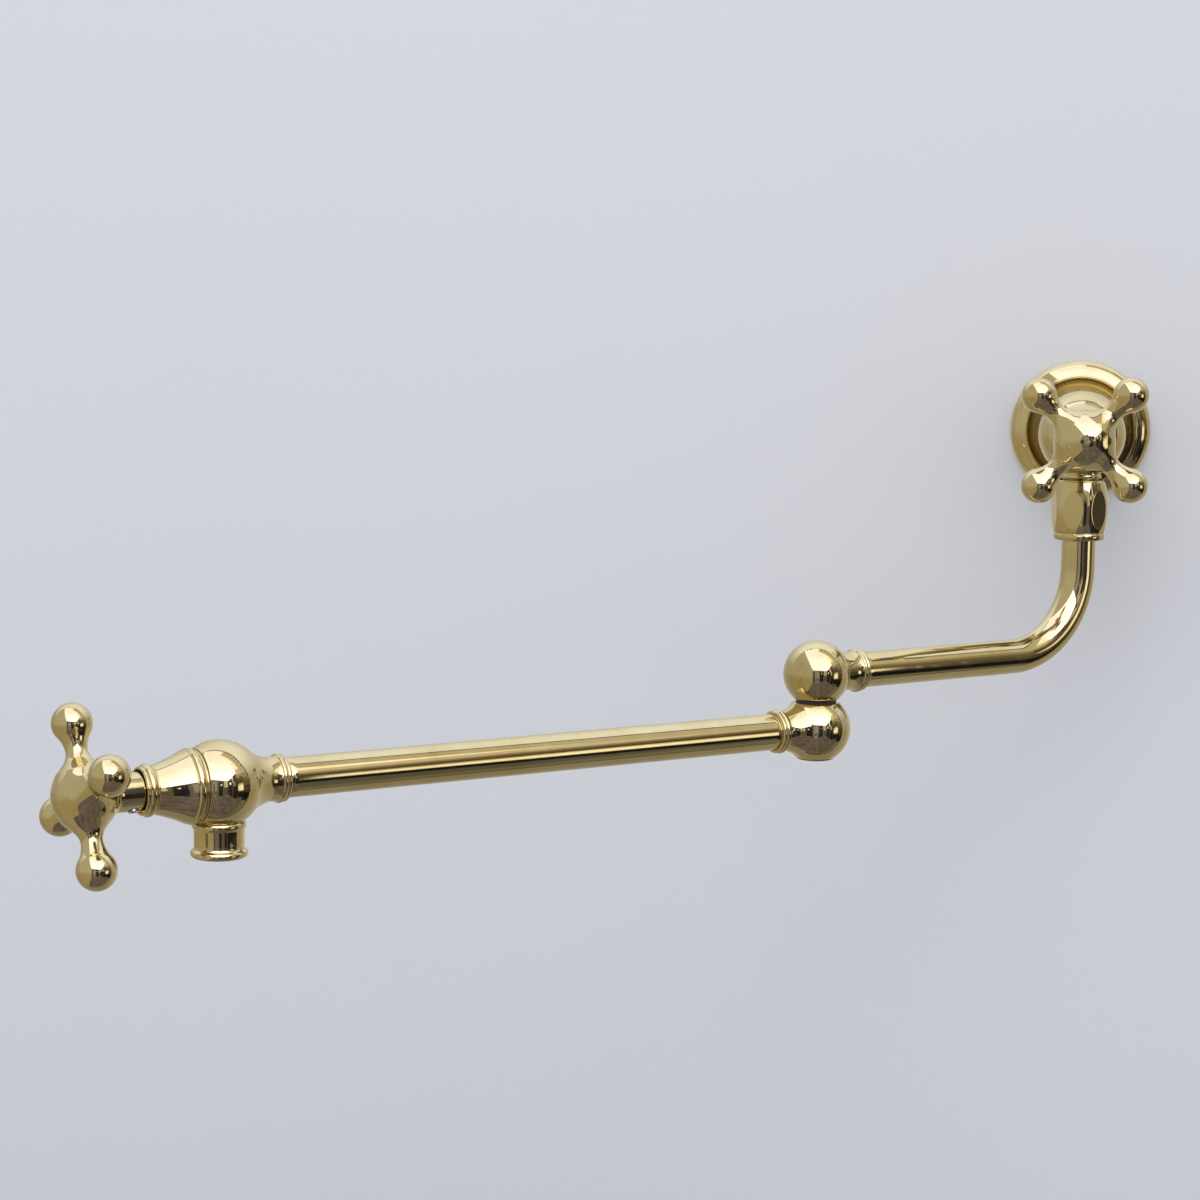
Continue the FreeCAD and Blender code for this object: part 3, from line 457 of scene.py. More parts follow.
def threaded(radius, depth, bore, start, end, around=96):
    """A male pipe thread cut round local Z, with its bore: points and faces."""
    rows_per_turn, chamfer, flank, crest = 10, 1.0, 2.6, 0.3
    rows = math.ceil((end - start) / thread_pitch * rows_per_turn)
    angles = np.linspace(0, math.tau, around, endpoint=False)
    vertices = ring(bore, start, around)
    for row in range(rows + 1):
        along = start + (end - start) * row / rows
        lead = min(chamfer, along - start, end - along)
        turn = ((along - start) / thread_pitch - angles / math.tau) % 1.0
        cut = np.clip(np.abs(turn - 0.5) * flank - crest, 0, 1) * depth
        vertices += ring(radius - np.maximum(cut, chamfer - lead), along, around)
    vertices += ring(bore, end, around)
    rings = rows + 3
    return vertices, ring_faces([(row, (row + 1) % rings) for row in range(rings)], around)


def together(*shapes):
    """Several shapes' points and faces as one."""
    vertices, faces = [], []
    for points, sides in shapes:
        base = len(vertices)
        vertices += list(points)
        faces += [tuple(base + corner for corner in side) for side in sides]
    return vertices, faces


def moved(shape, place):
    """A shape's points, in mm, carried by a place whose own origin is in metres."""
    points, faces = shape
    turn = np.array(place.to_3x3())
    shift = np.array(place.translation) / to_metres
    return [tuple(p) for p in np.array(points, float) @ turn.T + shift], faces


# The outlet hangs below the ball, and local Z of the turned shapes becomes local -Y of the valve.
outlet_section = [
    (outlet_bore, 14.0), (outlet_neck, 14.0), (outlet_neck, 18.6), (outlet_neck, 20.6, -0.35),
    (8.6, outlet_shoulder - 0.4), (8.6, outlet_shoulder), (outlet_bore, outlet_shoulder)]
wall_valve = mesh_of("wall_valve_ball", *together(
    turned([outline(ball_section)], 200),
    threaded(inlet_thread, inlet_thread_depth, inlet_bore, inlet_end, inlet_start),
    moved(turned([outline(outlet_section)], 128), out_of_wall),
    moved(threaded(outlet_thread, outlet_thread_depth, outlet_bore, outlet_shoulder, outlet_end),
          out_of_wall)), turned_brass, seated(swivel_top, forward, upward))
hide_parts("wall_valve_body")
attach(wall_valve, "wall_mount")


# ---- Bonnets ----
# A bell of turned brass over each cartridge, between a base bead that beds on the ball and a top
# bead. The handle's stem turns in its mouth with a dark ring of space round it.
bonnet_section = [
    (12.5, 0), (13.7, 0), (13.7, 1.1, -0.4), (14.2, 4.2, -0.9), (13.9, 4.5), (14.35, 5.0),
    (9.4, 18.3, 0.4), (9.25, 19.0, 0.2), (9.25, 22.2, -1.0), (9.25, 23.2, -0.2), (9.05, 23.4),
    (8.4, 23.4), (8.4, 19.8), (6.42, 19.8), (6.42, 14.8), (7.55, 14.8), (12.5, 4.6, -0.2)]
arm_drop, inner_length, ball_pitch, outer_length = 102.5, 156.0, 24.2, 285.0
inner_turn, outer_turn = math.radians(43), math.radians(41)
inner_way = Vector((-math.cos(inner_turn), -math.sin(inner_turn), 0))
outer_way = Vector((-math.cos(outer_turn), -math.sin(outer_turn), 0))
arm_corner = Vector(swivel_top) - Vector((0, 0, arm_drop))
upper_middle = arm_corner + inner_way * inner_length
lower_middle = upper_middle - Vector((0, 0, ball_pitch))
spout_middle = lower_middle + outer_way * outer_length
end_ball = 17.3
end_seat = math.sqrt(end_ball ** 2 - seat_flat ** 2)
wall_head = seated(Vector(swivel_top) + Vector((0, -wall_seat, 0)), forward, upward)
end_head = seated(spout_middle + outer_way * end_seat, outer_way, upward)
bonnet_shape = turned([outline(bonnet_section)], 160)
for prefix, place, body in (("wall", wall_head, "wall_mount"), ("end", end_head, "outer_arm")):
    bonnet = mesh_of(prefix + "_bonnet_bell", *bonnet_shape, turned_brass, place)
    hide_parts(prefix + "_bonnet")
    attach(bonnet, body)


# ---- Cross handles ----
# Cast brass, hand buffed: a round hub on a short stem, and four waisted spokes that swell into
# balls and run into the hub in broad webs. A grub screw in the stem grips the cartridge's spindle.
hub, hub_middle, web = 12.4, 45.1, 6.5
spoke_ball, spoke_reach, spoke_waist, waist_at, spoke_root = 7.9, 28.6, 4.2, 17.0, 9.0
stem, stem_foot, stem_fillet = 7.5, 20.4, 1.6
swell_start, swell_run, swell_size = 32.5, 4.6, 2.0
screw_at, screw_hole = 27.0, 2.05
wall_handle_angle, end_handle_angle = 46.2, 24.8
gap = spoke_reach - waist_at
hollow_radius = (gap ** 2 + spoke_waist ** 2 - spoke_ball ** 2) / (2 * (spoke_ball - spoke_waist))
hollow_middle = spoke_waist + hollow_radius
tangent_at = spoke_reach - gap * spoke_ball / (spoke_ball + hollow_radius)
buffed_off = 0.01
handle_brass = polished_brass("cast brass", "all ways", lines=0.4, ripple=0.012, ripple_size=0.15,
                              touched=0.9, aged=0.6, dull=0.04)


def melted(first, second, size):
    """Smaller of two distances, with the corner between them filled by a fillet."""
    near = np.maximum(size - np.abs(first - second), 0) / size
    return np.minimum(first, second) - near * near * size / 4


def handle_distance(points):
    """How far points, in mm, are outside the handle's surface; less than nothing inside."""
    x, y, height = points[..., 0], points[..., 1], points[..., 2]
    z = height - hub_middle
    from_axis = np.hypot(x, y)
    swell = np.clip((height - swell_start) / swell_run, 0, 1) ** 2 * swell_size
    found = melted(np.sqrt(from_axis ** 2 + z ** 2) - hub,
                   from_axis - stem - swell + np.maximum(z, 0), stem_fillet)
    for way_x, way_y in ((1, 0), (0, 1), (-1, 0), (0, -1)):
        along = x * way_x + y * way_y
        off = np.hypot(x * way_y - y * way_x, z)
        held = np.clip(along, spoke_root, tangent_at)
        size = hollow_middle - np.sqrt(hollow_radius ** 2 - (held - waist_at) ** 2)
        arm = off - size + np.maximum(2 - along, 0)
        end = np.hypot(along - spoke_reach, off) - spoke_ball
        found = melted(found, np.where(along > tangent_at, end, arm), web)
    found = np.maximum(found, stem_foot - height)
    screw = np.where(y < 0, np.hypot(x, height - screw_at) - screw_hole, 9.0)
    return -melted(-found, screw, 0.3) + buffed_off


def skinned(distance, low, high, cell):
    """Surface where a distance is nothing: points, and four-cornered faces about a cell wide."""
    axes = [np.arange(a, b + cell, cell) for a, b in zip(low, high)]
    grid = np.stack(np.meshgrid(*axes, indexing="ij"), -1)
    value = distance(grid)
    inside = value < 0
    counts = [len(a) - 1 for a in axes]
    total, hits = np.zeros((*counts, 3)), np.zeros(counts)
    for axis in range(3):
        first = np.take(value, range(counts[axis]), axis)
        second = np.take(value, range(1, counts[axis] + 1), axis)
        crossed = (first < 0) != (second < 0)
        share = np.where(crossed, first / np.where(crossed, first - second, 1), 0)
        point = np.take(grid, range(counts[axis]), axis).copy()
        point[..., axis] += share * cell
        others = [a for a in range(3) if a != axis]
        for shift in ((0, 0), (0, 1), (1, 0), (1, 1)):
            cut = [slice(None)] * 3
            for other, step in zip(others, shift):
                cut[other] = slice(step, step + counts[other])
            mask = crossed[tuple(cut)]
            hits += mask
            total += point[tuple(cut)] * mask[..., None]
    used = hits > 0
    index = -np.ones(counts, int)
    index[used] = np.arange(used.sum())
    vertices = total[used] / hits[used][:, None]
    faces = []
    for axis in range(3):
        one, two = (axis + 1) % 3, (axis + 2) % 3
        first = np.take(inside, range(counts[axis]), axis)
        second = np.take(inside, range(1, counts[axis] + 1), axis)
        where = np.argwhere(first != second)
        beside = where[:, [one, two]]
        where = where[((beside > 0) & (beside < [counts[one], counts[two]])).all(axis=1)]
        quad = []
        for a, b in ((1, 1), (0, 1), (0, 0), (1, 0)):
            cell_at = where.copy()
            cell_at[:, one] -= a
            cell_at[:, two] -= b
            quad.append(index[tuple(cell_at.T)])
        quads = np.stack(quad, 1)
        outward = first[tuple(where.T)]
        quads[~outward] = quads[~outward][:, ::-1]
        faces += quads.tolist()
    for _ in range(4):
        here, slope = distance(vertices), surface_slope(distance, vertices)
        vertices = vertices - slope * (here / np.maximum((slope ** 2).sum(-1), 1e-9))[:, None]
    return vertices, faces


def surface_slope(distance, points, step=0.01):
    """Which way, and how steeply, a distance grows at each point."""
    slopes = []
    for shift in np.eye(3) * step:
        slopes.append((distance(points + shift) - distance(points - shift)) / (2 * step))
    return np.stack(slopes, -1)


cross_low, cross_high = (-37.6, -37.6, 19.9), (37.6, 37.6, 58.2)
cross_points, cross_faces = skinned(handle_distance, cross_low, cross_high, 0.55)
cross_normals = surface_slope(handle_distance, cross_points, 0.03)
cross_normals /= np.linalg.norm(cross_normals, axis=1)[:, None]
for prefix, head, angle, body in (("wall", wall_head, wall_handle_angle, "wall_control"),
                                  ("end", end_head, end_handle_angle, "end_control")):
    place = head @ Matrix.Rotation(math.radians(angle), 4, "Z")
    mesh = bpy.data.meshes.new(prefix + "_cross_handle")
    mesh.from_pydata((cross_points * to_metres).tolist(), [], cross_faces)
    mesh.shade_smooth()
    handle = placed(mesh, handle_brass, place)
    normals = cross_normals @ np.array(place.to_3x3()).T
    mesh.normals_split_custom_set_from_vertices(normals.tolist())
    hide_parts(prefix + "_handle")
    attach(handle, body)


# ---- Inside the valves ----
# A quarter-turn cartridge in each: brass gland and spindle as turned, two lapped ceramic discs, a
# rubber seat seal, a red fibre washer under the gland, and a stainless clip and grub screw.
as_turned = plain("as turned brass", (0.70, 0.56, 0.30), (0.62, 0.48, 0.24), 0.28, 0.004, 3.0, 1.0)
ceramic = plain("lapped ceramic", (0.88, 0.87, 0.84), (0.84, 0.83, 0.79), 0.2, 0.001, 2.0)
red_fibre = plain("red fibre", (0.36, 0.09, 0.055), (0.27, 0.065, 0.045), 0.7, 0.02, 4.0)
stainless = plain("stainless steel", (0.60, 0.60, 0.61), (0.52, 0.52, 0.53), 0.26, 0.003, 3.0, 1.0)
for prefix in ("wall_", "end_"):
    finished(as_turned, prefix + "gland", prefix + "spindle")
    finished(ceramic, prefix + "fixed_disc", prefix + "moving_disc")
    finished(black_rubber, prefix + "seat_seal", prefix + "spindle_ring")
    finished(red_fibre, prefix + "gland_washer")
    finished(stainless, prefix + "spindle_clip", prefix + "grub_screw")


# ---- Union nut ----
# Turned brass, barrel shaped, with six flats milled on it that come out oval, and a bead round its
# foot. It draws the swivel's tail up to the valve's outlet; the arm's tube turns in it.
nut_top, nut_bead_top, nut_foot = 21.3, 46.2, 49.5
nut_bore, nut_foot_bore, nut_flat, nut_sides = 10.02, 8.35, 12.33, 480
barrel_foot, nut_belly = nut_bead_top - 0.5, (13.2, 35.6)
nut_turn = math.radians(15)

barrel_section = [
    (0, nut_top), (10.9, nut_top), (11.4, nut_top + 0.6, 0.2), (12.0, barrel_foot, nut_belly),
    (0, barrel_foot)]
barrel_line = [point for point in outline(barrel_section)[0] if point[0] > nut_bore]
angles = np.linspace(0, math.tau, nut_sides, endpoint=False)
to_flat = np.abs((angles + math.pi / 6) % (math.pi / 3) - math.pi / 6)
flats = nut_flat / np.cos(to_flat)
rings = [ring(nut_bore, nut_top, nut_sides)]
for start, end in zip(barrel_line, barrel_line[1:]):
    steps = max(1, round(abs(end[1] - start[1]) / 0.2))
    for share in np.linspace(0, 1, steps, endpoint=False):
        size = start[0] + (end[0] - start[0]) * share
        along = start[1] + (end[1] - start[1]) * share
        rings.append(ring(melted(size, flats, 0.12), along, nut_sides))
barrel = ([point for points in rings for point in points],
          ring_faces([(row, row + 1) for row in range(len(rings) - 1)], nut_sides))
nut_bead = [
    (nut_foot_bore, nut_bead_top - 2), (11.6, barrel_foot), (11.75, nut_bead_top, -0.1),
    (11.75, nut_foot - 0.2, -0.4), (11.25, nut_foot), (nut_foot_bore, nut_foot)]
nut_down = Vector((0, 0, -1))
nut_side = Vector((-math.sin(nut_turn), -math.cos(nut_turn), 0))
union_nut = mesh_of("union_nut_barrel", *together(barrel, turned([outline(nut_bead)], 160)),
                    turned_brass, seated(swivel_top, nut_down, nut_down.cross(nut_side)))
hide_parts("union_nut")
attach(union_nut, "wall_mount")
white_washer = plain("white washer", (0.86, 0.86, 0.84), (0.80, 0.80, 0.77), 0.4, 0.004, 2.0)
finished(white_washer, "swivel_washer_top", "swivel_washer_bottom")
finished(as_turned, "swivel_tail")
finished(black_rubber, "swivel_rings")


# ---- Arm tubes ----
# Drawn brass tube, 16 mm across with a 1 mm wall. The inner one comes down out of the nut and is
# bent once to go out level; the outer one is straight. Both are soldered in their collars.
tube, tube_bore, bend, tube_top = 8.0, 7.0, 40.0, -36.85
upper_reach, lower_reach, end_reach = 22.0, 21.3, 25.2
bead_half, mouth_lip, socket_depth, fit_gap = 1.8, 0.3, 7.0, 0.02
tube_brass = polished_brass("drawn brass tube", "along", lines=0.5, ripple=0.010, ripple_size=0.07,
                            touched=0.7, aged=0.35, dull=0.045)


def tube_stop(reach):
    """How far from its ball's middle a tube starts, in a collar whose bead is at this reach."""
    return reach + bead_half + mouth_lip - socket_depth + fit_gap


down = Vector((0, 0, -1))
bend_start, bend_end = arm_corner - down * bend, arm_corner + inner_way * bend
tube_start = Vector((*swivel_top[:2], tube_top))
tube_end = upper_middle - inner_way * tube_stop(upper_reach)
path = [tube_start.lerp(bend_start, share) for share in np.linspace(0, 1, 8)]
headings = [down] * len(path)
for angle in np.linspace(0, math.pi / 2, 49)[1:]:
    path.append(bend_start + inner_way * bend * (1 - math.cos(angle))
                + down * bend * math.sin(angle))
    headings.append(down * math.cos(angle) + inner_way * math.sin(angle))
for share in np.linspace(0, 1, 12)[1:]:
    path.append(bend_end.lerp(tube_end, share))
    headings.append(inner_way)
arm_frame = seated(upper_middle, inner_way, upward)
back = arm_frame.inverted()
own_path = [back @ (point * to_metres) * 1000 for point in path]
own_headings = [back.to_3x3() @ heading for heading in headings]


def swept(points, ways, across, sides=112):
    """Tube along a path that stays in one plane, whose level normal is across."""
    vertices = []
    for radius in (tube, tube_bore):
        for point, heading in zip(points, ways):
            other = heading.cross(across)
            vertices += [tuple(point + (across * math.cos(a) + other * math.sin(a)) * radius)
                         for a in np.linspace(0, math.tau, sides, endpoint=False)]
    count = len(points)
    pairs = [(row, row + 1) for row in (*range(count - 1), *range(count, 2 * count - 1))]
    return vertices, ring_faces(pairs + [(0, count), (count - 1, 2 * count - 1)], sides)


level = Vector((1, 0, 0))
inner_tube = mesh_of("inner_arm_tube", *swept(own_path, own_headings, level), tube_brass,
                     arm_frame)
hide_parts("inner_tube")
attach(inner_tube, "inner_arm")

outer_frame = seated(lower_middle, outer_way, upward)
outer_stops = np.linspace(tube_stop(lower_reach), outer_length - tube_stop(end_reach), 26)
outer_path = [Vector((0, 0, stop)) for stop in outer_stops]
outer_headings = [Vector((0, 0, 1))] * len(outer_path)
outer_tube = mesh_of("outer_arm_tube", *swept(outer_path, outer_headings, level), tube_brass,
                     outer_frame)
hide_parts("outer_tube")
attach(outer_tube, "outer_arm")


# ---- Elbow ----
# Two turned brass balls, one over the other, on a hollow stem that lets the water through. Each has
# a short neck and a beaded collar for its tube. A black washer keeps them apart, and a thin cap
# closes the lower one.
collar, collar_groove, collar_lip, socket = 9.7, 9.0, 1.5, 8.02
socket_shown = 3


def collar_run(reach):
    """Bead, groove and lip of a collar, out to the tube's mouth."""
    low, high = reach - bead_half, reach + bead_half
    return [
        (collar_groove, low, 0.1), (collar_groove, high - collar_lip, -(collar - collar_groove)),
        (collar_groove, high, -0.4), (8.4, high + mouth_lip), (socket, high + mouth_lip),
        (socket, high - socket_shown), (0, high - socket_shown)]


def neck_waist(root, root_at, waist, waist_end):
    """Corner where a neck is slimmest, with the point that its hollow curve goes through."""
    return (waist, waist_end,
            (root * 0.3 + waist * 0.7, root_at * 0.45 + waist_end * 0.55))


waist = 8.5
upper_ball, upper_flat, upper_neck_size = 14.75, 9.7, 8.9
flat_depth = math.sqrt(upper_ball ** 2 - upper_flat ** 2)
upper_root = math.sqrt(upper_ball ** 2 - upper_neck_size ** 2)
upper_section = [(0, -flat_depth), (upper_flat, -flat_depth), (0, upper_ball, (upper_ball, 0.0))]
upper_neck = [
    (0, 6), (upper_neck_size, 6), (upper_neck_size, upper_root),
    neck_waist(upper_neck_size, upper_root, waist, (upper_root + upper_reach) / 2),
    *collar_run(upper_reach)]
upright = seated((0, 0, 0), (0, 1, 0), (0, 0, -1))
upper_knuckle = mesh_of("upper_knuckle_ball", *together(
    moved(turned([outline(upper_section)], 160), upright),
    turned([outline(upper_neck)], 144)), turned_brass,
    seated(upper_middle, inner_way * -1, upward))
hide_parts("upper_knuckle")
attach(upper_knuckle, "inner_arm")

lower_ball, washer_thickness, cap_seat = 15.5, 1.4, 8.7
lower_neck_size, lower_neck_start, lower_root = 11.6, 9.4, 10.2
lower_top = ball_pitch - flat_depth - washer_thickness
lower_flat = math.sqrt(lower_ball ** 2 - lower_top ** 2)
cap_depth = math.sqrt(lower_ball ** 2 - cap_seat ** 2)
lower_section = [(0, lower_top), (0, -cap_depth), (cap_seat, -cap_depth),
                 (lower_flat, lower_top, (lower_ball, 0.0))]
lower_neck = [
    (0, lower_neck_start), (lower_neck_size, lower_neck_start), (lower_neck_size, lower_root),
    neck_waist(lower_neck_size, lower_root, waist, lower_reach - bead_half - 0.8),
    *collar_run(lower_reach)]
lower_knuckle = mesh_of("lower_knuckle_ball", *together(
    moved(turned([outline(lower_section)], 160), upright),
    turned([outline(lower_neck)], 144)), turned_brass, outer_frame)
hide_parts("lower_knuckle")
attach(lower_knuckle, "outer_arm")

cap_section = [
    (0, -cap_depth + 1.8), (0, -cap_depth - 1.9), (8.0, -cap_depth - 0.7, -0.36),
    (8.3, -cap_depth - 0.4, 0.05), (7.4, -cap_depth - 0.4), (7.4, -cap_depth + 1.8)]
pivot_cap = mesh_of("elbow_cap", *turned([outline(cap_section)], 128), turned_brass,
                    seated(lower_middle, upward, forward))
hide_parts("pivot_cap")
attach(pivot_cap, "outer_arm")
black_acetal = plain("black acetal", (0.018, 0.018, 0.019), (0.026, 0.026, 0.027), 0.42, 0.004, 2.2)
finished(black_acetal, "elbow_washer")
finished(as_turned, "pivot_stem", "pivot_washer")
finished(black_rubber, "pivot_rings")
finished(stainless, "pivot_clip")


# ---- End valve's body ----
# The ball at the arm's end, turned in one piece with a waisted neck and the collar that takes the
# tube.
end_neck, end_waist, end_waist_at = 13.6, 8.85, -19.4
neck_flare = math.sqrt(end_ball ** 2 - end_neck ** 2)
bead_inner, bead_outer = bead_half - end_reach, -end_reach - bead_half
end_section = [
    (0, bead_outer + socket_shown), (socket, bead_outer + socket_shown),
    (socket, bead_outer - mouth_lip), (8.4, bead_outer - mouth_lip), (collar_groove, bead_outer),
    (collar_groove, bead_outer + collar_lip, -0.4),
    (collar_groove, bead_inner, -(collar - collar_groove)), (end_waist, end_waist_at, 0.1),
    (end_neck, -neck_flare, (end_waist + 1.6, -neck_flare * 0.48 + end_waist_at * 0.52)),
    (seat_flat, end_seat, (end_ball, 0)), (0, end_seat)]
end_valve = mesh_of("end_valve_ball", *turned([outline(end_section)], 192), turned_brass,
                    seated(spout_middle, outer_way, upward))
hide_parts("end_valve_body")
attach(end_valve, "outer_arm")


# ---- Spout ----
# A short turned nozzle screwed under the end valve: a bead at its top, a waisted barrel and a
# rolled rim. An aerator with a stainless mesh is screwed up inside it.
nozzle_bead, nozzle_root, spout_bore, aerator_bore, aerator_seat = 9.9, 8.0, 5.5, 8.32, 19.85
spout_top = math.sqrt(end_ball ** 2 - nozzle_bead ** 2)
nozzle_section = [
    (spout_bore, spout_top - 3.6), (nozzle_root, spout_top - 3.6), (nozzle_root, spout_top),
    (nozzle_bead, spout_top), (nozzle_bead, spout_top + 3.2, -0.7), (9.8, 23.4, 0.05),
    (10.57, 25.49, 0.35), (9.55, 28.55, (11.25, 26.85)), (aerator_bore, 28.05, -0.1),
    (aerator_bore, aerator_seat), (spout_bore, aerator_seat)]
spout = mesh_of("spout_barrel", *turned([outline(nozzle_section)], 144), turned_brass,
                seated(spout_middle, (0, 0, -1), forward))
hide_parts("spout_nozzle")
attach(spout, "outer_arm")
satin_brass = plain("satin brass", (0.76, 0.63, 0.36), (0.70, 0.56, 0.30), 0.24, 0.003, 4.0, 1.0)
finished(satin_brass, "aerator_housing")
finished(stainless, "aerator_mesh")
finished(black_acetal, "flow_straightener")
finished(black_rubber, "aerator_washer")


# ---- Wall, floor and light ----
# A plain pale wall that the flange stands on and a plain pale floor under it. Both show from their
# front only, so that the fitting can be looked at from behind, and the brass doesn't reflect them:
# it reflects the room drawn below.
wall_left, wall_right, wall_high, floor_depth, floor_level = -2.2, 2.0, 0.6, -1.6, -0.46


def sheet(name, corners, colour):
    """A flat painted sheet of the surroundings, seen from its front only."""
    mesh = bpy.data.meshes.new(name)
    mesh.from_pydata(corners, [], [(0, 1, 2, 3)])
    piece = added(name, mesh)
    material, tree, shader = material_of(name)
    tree.nodes.remove(shader)
    place = node(tree, "ShaderNodeTexCoord").outputs["Object"]
    cloud = spread(tree, noise(tree, place, 1.4, 2.0), 0.3, 0.7)
    tone = blended(tree, cloud, (*colour, 1), (*[c * 0.985 for c in colour], 1))
    paint = node(tree, "ShaderNodeBsdfDiffuse", {"Color": tone}).outputs[0]
    clear = node(tree, "ShaderNodeBsdfTransparent").outputs[0]
    behind = node(tree, "ShaderNodeNewGeometry").outputs["Backfacing"]
    shown = node(tree, "ShaderNodeMixShader", {0: behind, 1: paint, 2: clear}).outputs[0]
    feed(tree.nodes["Material Output"], {"Surface": shown})
    mesh.materials.append(material)
    piece.visible_glossy = False


sheet("backdrop_wall", [
    (wall_left, 0, floor_level), (wall_right, 0, floor_level), (wall_right, 0, wall_high),
    (wall_left, 0, wall_high)], (0.715, 0.725, 0.765))
sheet("pale_floor", [
    (wall_left, 0, floor_level), (wall_left, floor_depth, floor_level),
    (wall_right, floor_depth, floor_level), (wall_right, 0, floor_level)], (0.66, 0.665, 0.69))

# What polished metal sees in front of it: a room with a bright ceiling, a taupe floor and a darker
# far wall with a few cupboards and windows, drawn as it would be seen from the fitting.
world = bpy.data.worlds.new("room")
bpy.context.scene.world = world
world.use_nodes = True
tree = world.node_tree
tree.nodes.clear()
direction = node(tree, "ShaderNodeTexCoord").outputs["Generated"]
x, y, z = node(tree, "ShaderNodeSeparateXYZ", {0: direction}).outputs
ahead_of_wall = larger(tree, times(tree, y, -1.0), 0.01)
across, aloft = calc(tree, "DIVIDE", x, ahead_of_wall), calc(tree, "DIVIDE", z, ahead_of_wall)
left_corner, right_corner, floor_edge, ceiling_edge = -0.14, 0.85, -0.42, 0.36
doorway_start, shade_start = 2.3, 8.0
past_left = larger(tree, calc(tree, "SUBTRACT", left_corner, across), 0.0)
past_right = larger(tree, calc(tree, "SUBTRACT", across, right_corner), 0.0)


def above(edge, left_slope, right_slope):
    """Where the view is above an edge that runs level across the far wall and then along the side
    walls."""
    sides = plus(tree, times(tree, past_left, left_slope), times(tree, past_right, right_slope))
    return calc(tree, "GREATER_THAN", aloft, plus(tree, sides, edge))


def within(low, high, value):
    """Where a value is between two others."""
    return times(tree, calc(tree, "GREATER_THAN", value, low), calc(tree, "LESS_THAN", value, high))


left_wall = blended(tree, spread(tree, z, 0.02, -0.22), (0.54, 0.52, 0.45, 1),
                    (0.42, 0.36, 0.24, 1))
room = blended(tree, spread(tree, across, -0.1, 1.2), (0.20, 0.18, 0.17, 1),
               (0.075, 0.058, 0.045, 1))
room = blended(tree, calc(tree, "GREATER_THAN", past_left, 0.0), room, left_wall)
for sides, heights, colour in (
        ((-0.135, -0.06), (-0.42, 0.30), (0.035, 0.03, 0.025)),  # dark post in the left corner
        ((0.0, 0.24), (-0.16, 0.26), (0.36, 0.36, 0.40)),  # grey window
        ((0.08, 0.10), (-0.16, 0.26), (0.12, 0.11, 0.10)),
        ((0.30, 0.52), (-0.50, 0.31), (0.012, 0.010, 0.009)),  # tall dark cupboard
        ((0.40, 0.44), (0.10, 0.17), (1.6, 1.5, 1.3)),  # small lamp on it
        ((0.60, 0.82), (0.02, 0.33), (0.80, 0.74, 0.62)),  # bright window
        ((0.70, 0.73), (0.02, 0.33), (0.05, 0.04, 0.03)),
        ((0.90, 1.20), (-0.70, 0.50), (0.010, 0.009, 0.008)),  # dark doorway on the right
        ((1.00, 1.08), (0.16, 0.30), (2.2, 2.1, 1.9)),  # lamp inside it
        ((1.28, 1.42), (0.30, 0.72), (1.5, 1.4, 1.2)),  # high narrow window
        ((1.50, 1.62), (0.05, 0.40), (1.2, 1.15, 1.0)),  # narrow window
        ((1.42, 2.30), (-1.10, 0.02), (0.012, 0.010, 0.008)),  # dark cupboard under it
        ((0.10, 0.15), (-0.40, -0.34), (1.3, 1.25, 1.15))):  # small light low down
    room = blended(tree, times(tree, within(*sides, across), within(*heights, aloft)), room,
                   (*colour, 1))
floor_tone = spread(tree, noise(tree, direction, 5.0, 3.0), 0.35, 0.65)
on_floor = blended(tree, floor_tone, (0.215, 0.19, 0.235, 1), (0.115, 0.095, 0.105, 1))
room = blended(tree, above(floor_edge, -2.0, -0.75), on_floor, room)
ceiling = blended(tree, spread(tree, z, 0.35, 0.95), (2.8, 2.8, 3.4, 1), (1.5, 1.5, 1.95, 1))
room = blended(tree, above(ceiling_edge, 1.75, 0.8), room, ceiling)
# Far along the wall to the right it shows a bright doorway over a dark worktop, and darker still
# right beside the wall.
beside = calc(tree, "DIVIDE", aloft, larger(tree, across, 0.01))
uneven = spread(tree, noise(tree, direction, 4.0, 2.0), 0.3, 0.7, -0.04, 0.04)
beside = plus(tree, beside, uneven)
lowest_band, band_span = -1.5, 3


def banded(value, bands):
    """Colours in level bands, from low to high."""
    ramp = node(tree, "ShaderNodeValToRGB", {0: spread(tree, value, lowest_band, -lowest_band)})
    steps = ramp.color_ramp
    steps.interpolation = "CONSTANT"
    for number, (height, colour) in enumerate(bands):
        at = height / band_span + 0.5
        stop = steps.elements[0] if number == 0 else steps.elements.new(at)
        stop.position, stop.color = at, (*colour, 1)
    steps.elements.remove(steps.elements[-1])
    return ramp.outputs["Color"]


doorway = banded(beside, (
    (-1.5, (0.14, 0.13, 0.12)), (-0.80, (0.115, 0.12, 0.10)), (-0.52, (0.02, 0.018, 0.015)),
    (-0.46, (0.005, 0.005, 0.004)), (-0.22, (0.30, 0.26, 0.20)), (-0.17, (1.4, 1.35, 1.25)),
    (0.03, (0.6, 0.55, 0.42)), (0.10, (0.09, 0.055, 0.02)), (0.22, (0.16, 0.11, 0.05)),
    (0.36, (0.42, 0.36, 0.25)), (0.55, (0.8, 0.72, 0.6)), (0.80, (1.5, 1.45, 1.38))))
shade = banded(beside, (
    (-1.5, (0.20, 0.19, 0.16)), (-0.60, (0.03, 0.025, 0.02)), (-0.50, (0.004, 0.004, 0.004)),
    (-0.27, (0.045, 0.035, 0.015)), (-0.20, (0.09, 0.08, 0.045)), (-0.10, (0.05, 0.04, 0.02)),
    (0.0, (0.14, 0.115, 0.06)), (0.16, (0.22, 0.18, 0.11)), (0.30, (0.40, 0.34, 0.24)),
    (0.5, (0.65, 0.6, 0.5))))
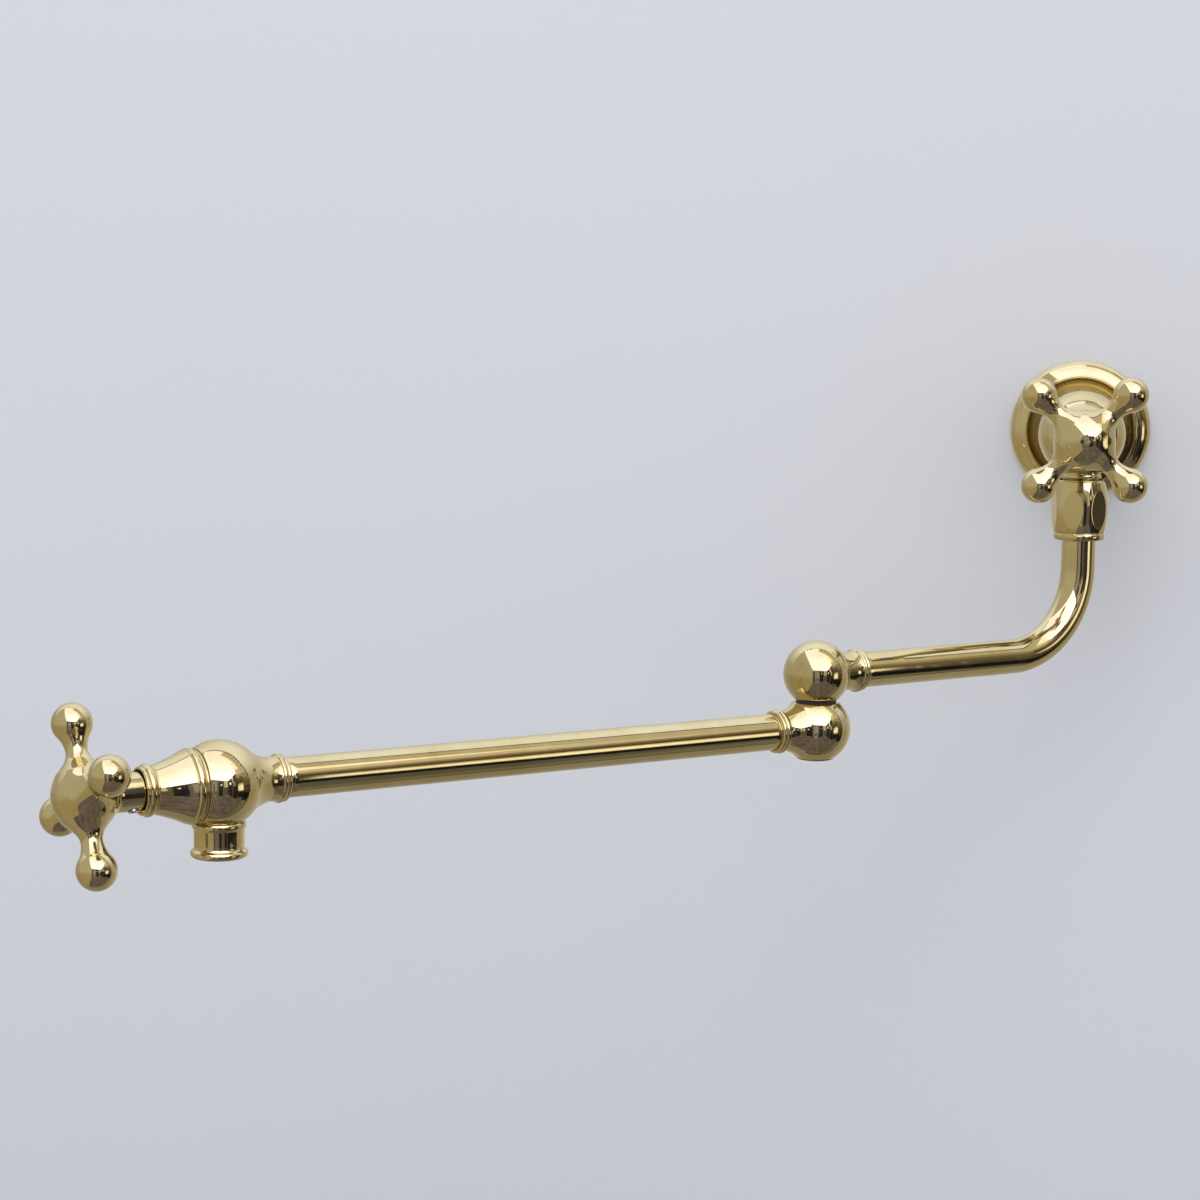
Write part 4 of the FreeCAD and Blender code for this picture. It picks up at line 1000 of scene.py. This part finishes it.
doorway = blended(tree, calc(tree, "GREATER_THAN", across, shade_start), doorway, shade)
room = blended(tree, calc(tree, "GREATER_THAN", across, doorway_start), room, doorway)
# Behind the fitting it sees the wall: brightest high up, where the window's light falls, and darker
# at the sides and towards the floor. A dark line marks where the wall ends.
aside = spread(tree, calc(tree, "ABSOLUTE", x), 0.25, 0.85)
low_down = spread(tree, z, 0.02, -0.22)
beside_fitting = blended(tree, low_down, (0.47, 0.46, 0.43, 1), (0.40, 0.345, 0.235, 1))
surround = blended(tree, aside, (0.74, 0.75, 0.78, 1), beside_fitting)
surround = blended(tree, spread(tree, z, 0.22, 0.80), surround, (1.12, 1.18, 1.42, 1))
surround = blended(tree, spread(tree, z, -0.25, -0.85), surround, (0.31, 0.29, 0.25, 1))
wall_end = larger(tree, times(tree, z, 0.27), times(tree, x, 0.25))
wall_end = larger(tree, wall_end, spread(tree, x, 0.72, 0.82, 0.0, 0.06))
past_end = calc(tree, "SUBTRACT", y, wall_end)
wall_edge = times(tree, within(-0.05, 0.0, past_end), within(-0.45, 0.95, x))
room = blended(tree, wall_edge, room, (0.10, 0.075, 0.05, 1))
reflected = blended(tree, calc(tree, "GREATER_THAN", past_end, 0.0), room, surround)
path_kind = node(tree, "ShaderNodeLightPath").outputs
lit = blended(tree, path_kind["Is Glossy Ray"], (0.905, 0.91, 0.925, 1), reflected)
shown = node(tree, "ShaderNodeBackground", {"Color": lit, "Strength": 1.0}).outputs[0]
node(tree, "ShaderNodeOutputWorld", {"Surface": shown})

lamp = bpy.data.lights.new("window_light", "AREA")
lamp.shape, lamp.size, lamp.size_y, lamp.energy = "RECTANGLE", 1.3, 0.9, 6.0
window = added("window_light", lamp)
window.location = (-0.35, -1.5, 1.25)
window.rotation_mode = "QUATERNION"
aim = Vector((-0.15, -0.1, -0.06)) - window.location
window.rotation_quaternion = aim.to_track_quat("-Z", "Y")
window.visible_glossy = False

# The camera stands a little to the left of the flange and looks slightly down at the end valve.
camera_place = (-27.09, -1310.6, 60.22)
focal_length, sensor_width = 79.53, 36.0
yaw, pitch, roll = math.radians(9.027), math.radians(6.463), math.radians(0.64)
ahead = Vector((-math.sin(yaw) * math.cos(pitch), math.cos(yaw) * math.cos(pitch),
                -math.sin(pitch)))
level_right = Vector((math.cos(yaw), math.sin(yaw), 0))
straight_up = level_right.cross(ahead)
right = level_right * math.cos(roll) + straight_up * math.sin(roll)
top = straight_up * math.cos(roll) - level_right * math.sin(roll)
lens = bpy.data.cameras.new("camera")
lens.lens, lens.sensor_width = focal_length, sensor_width
lens.clip_start, lens.clip_end = 0.05, 20.0
camera = added("camera", lens)
stand = Matrix((right, top, -ahead)).transposed().to_4x4()
stand.translation = Vector(camera_place) * to_metres
camera.matrix_world = stand
bpy.context.scene.camera = camera
bpy.context.scene.view_settings.view_transform = "Standard"
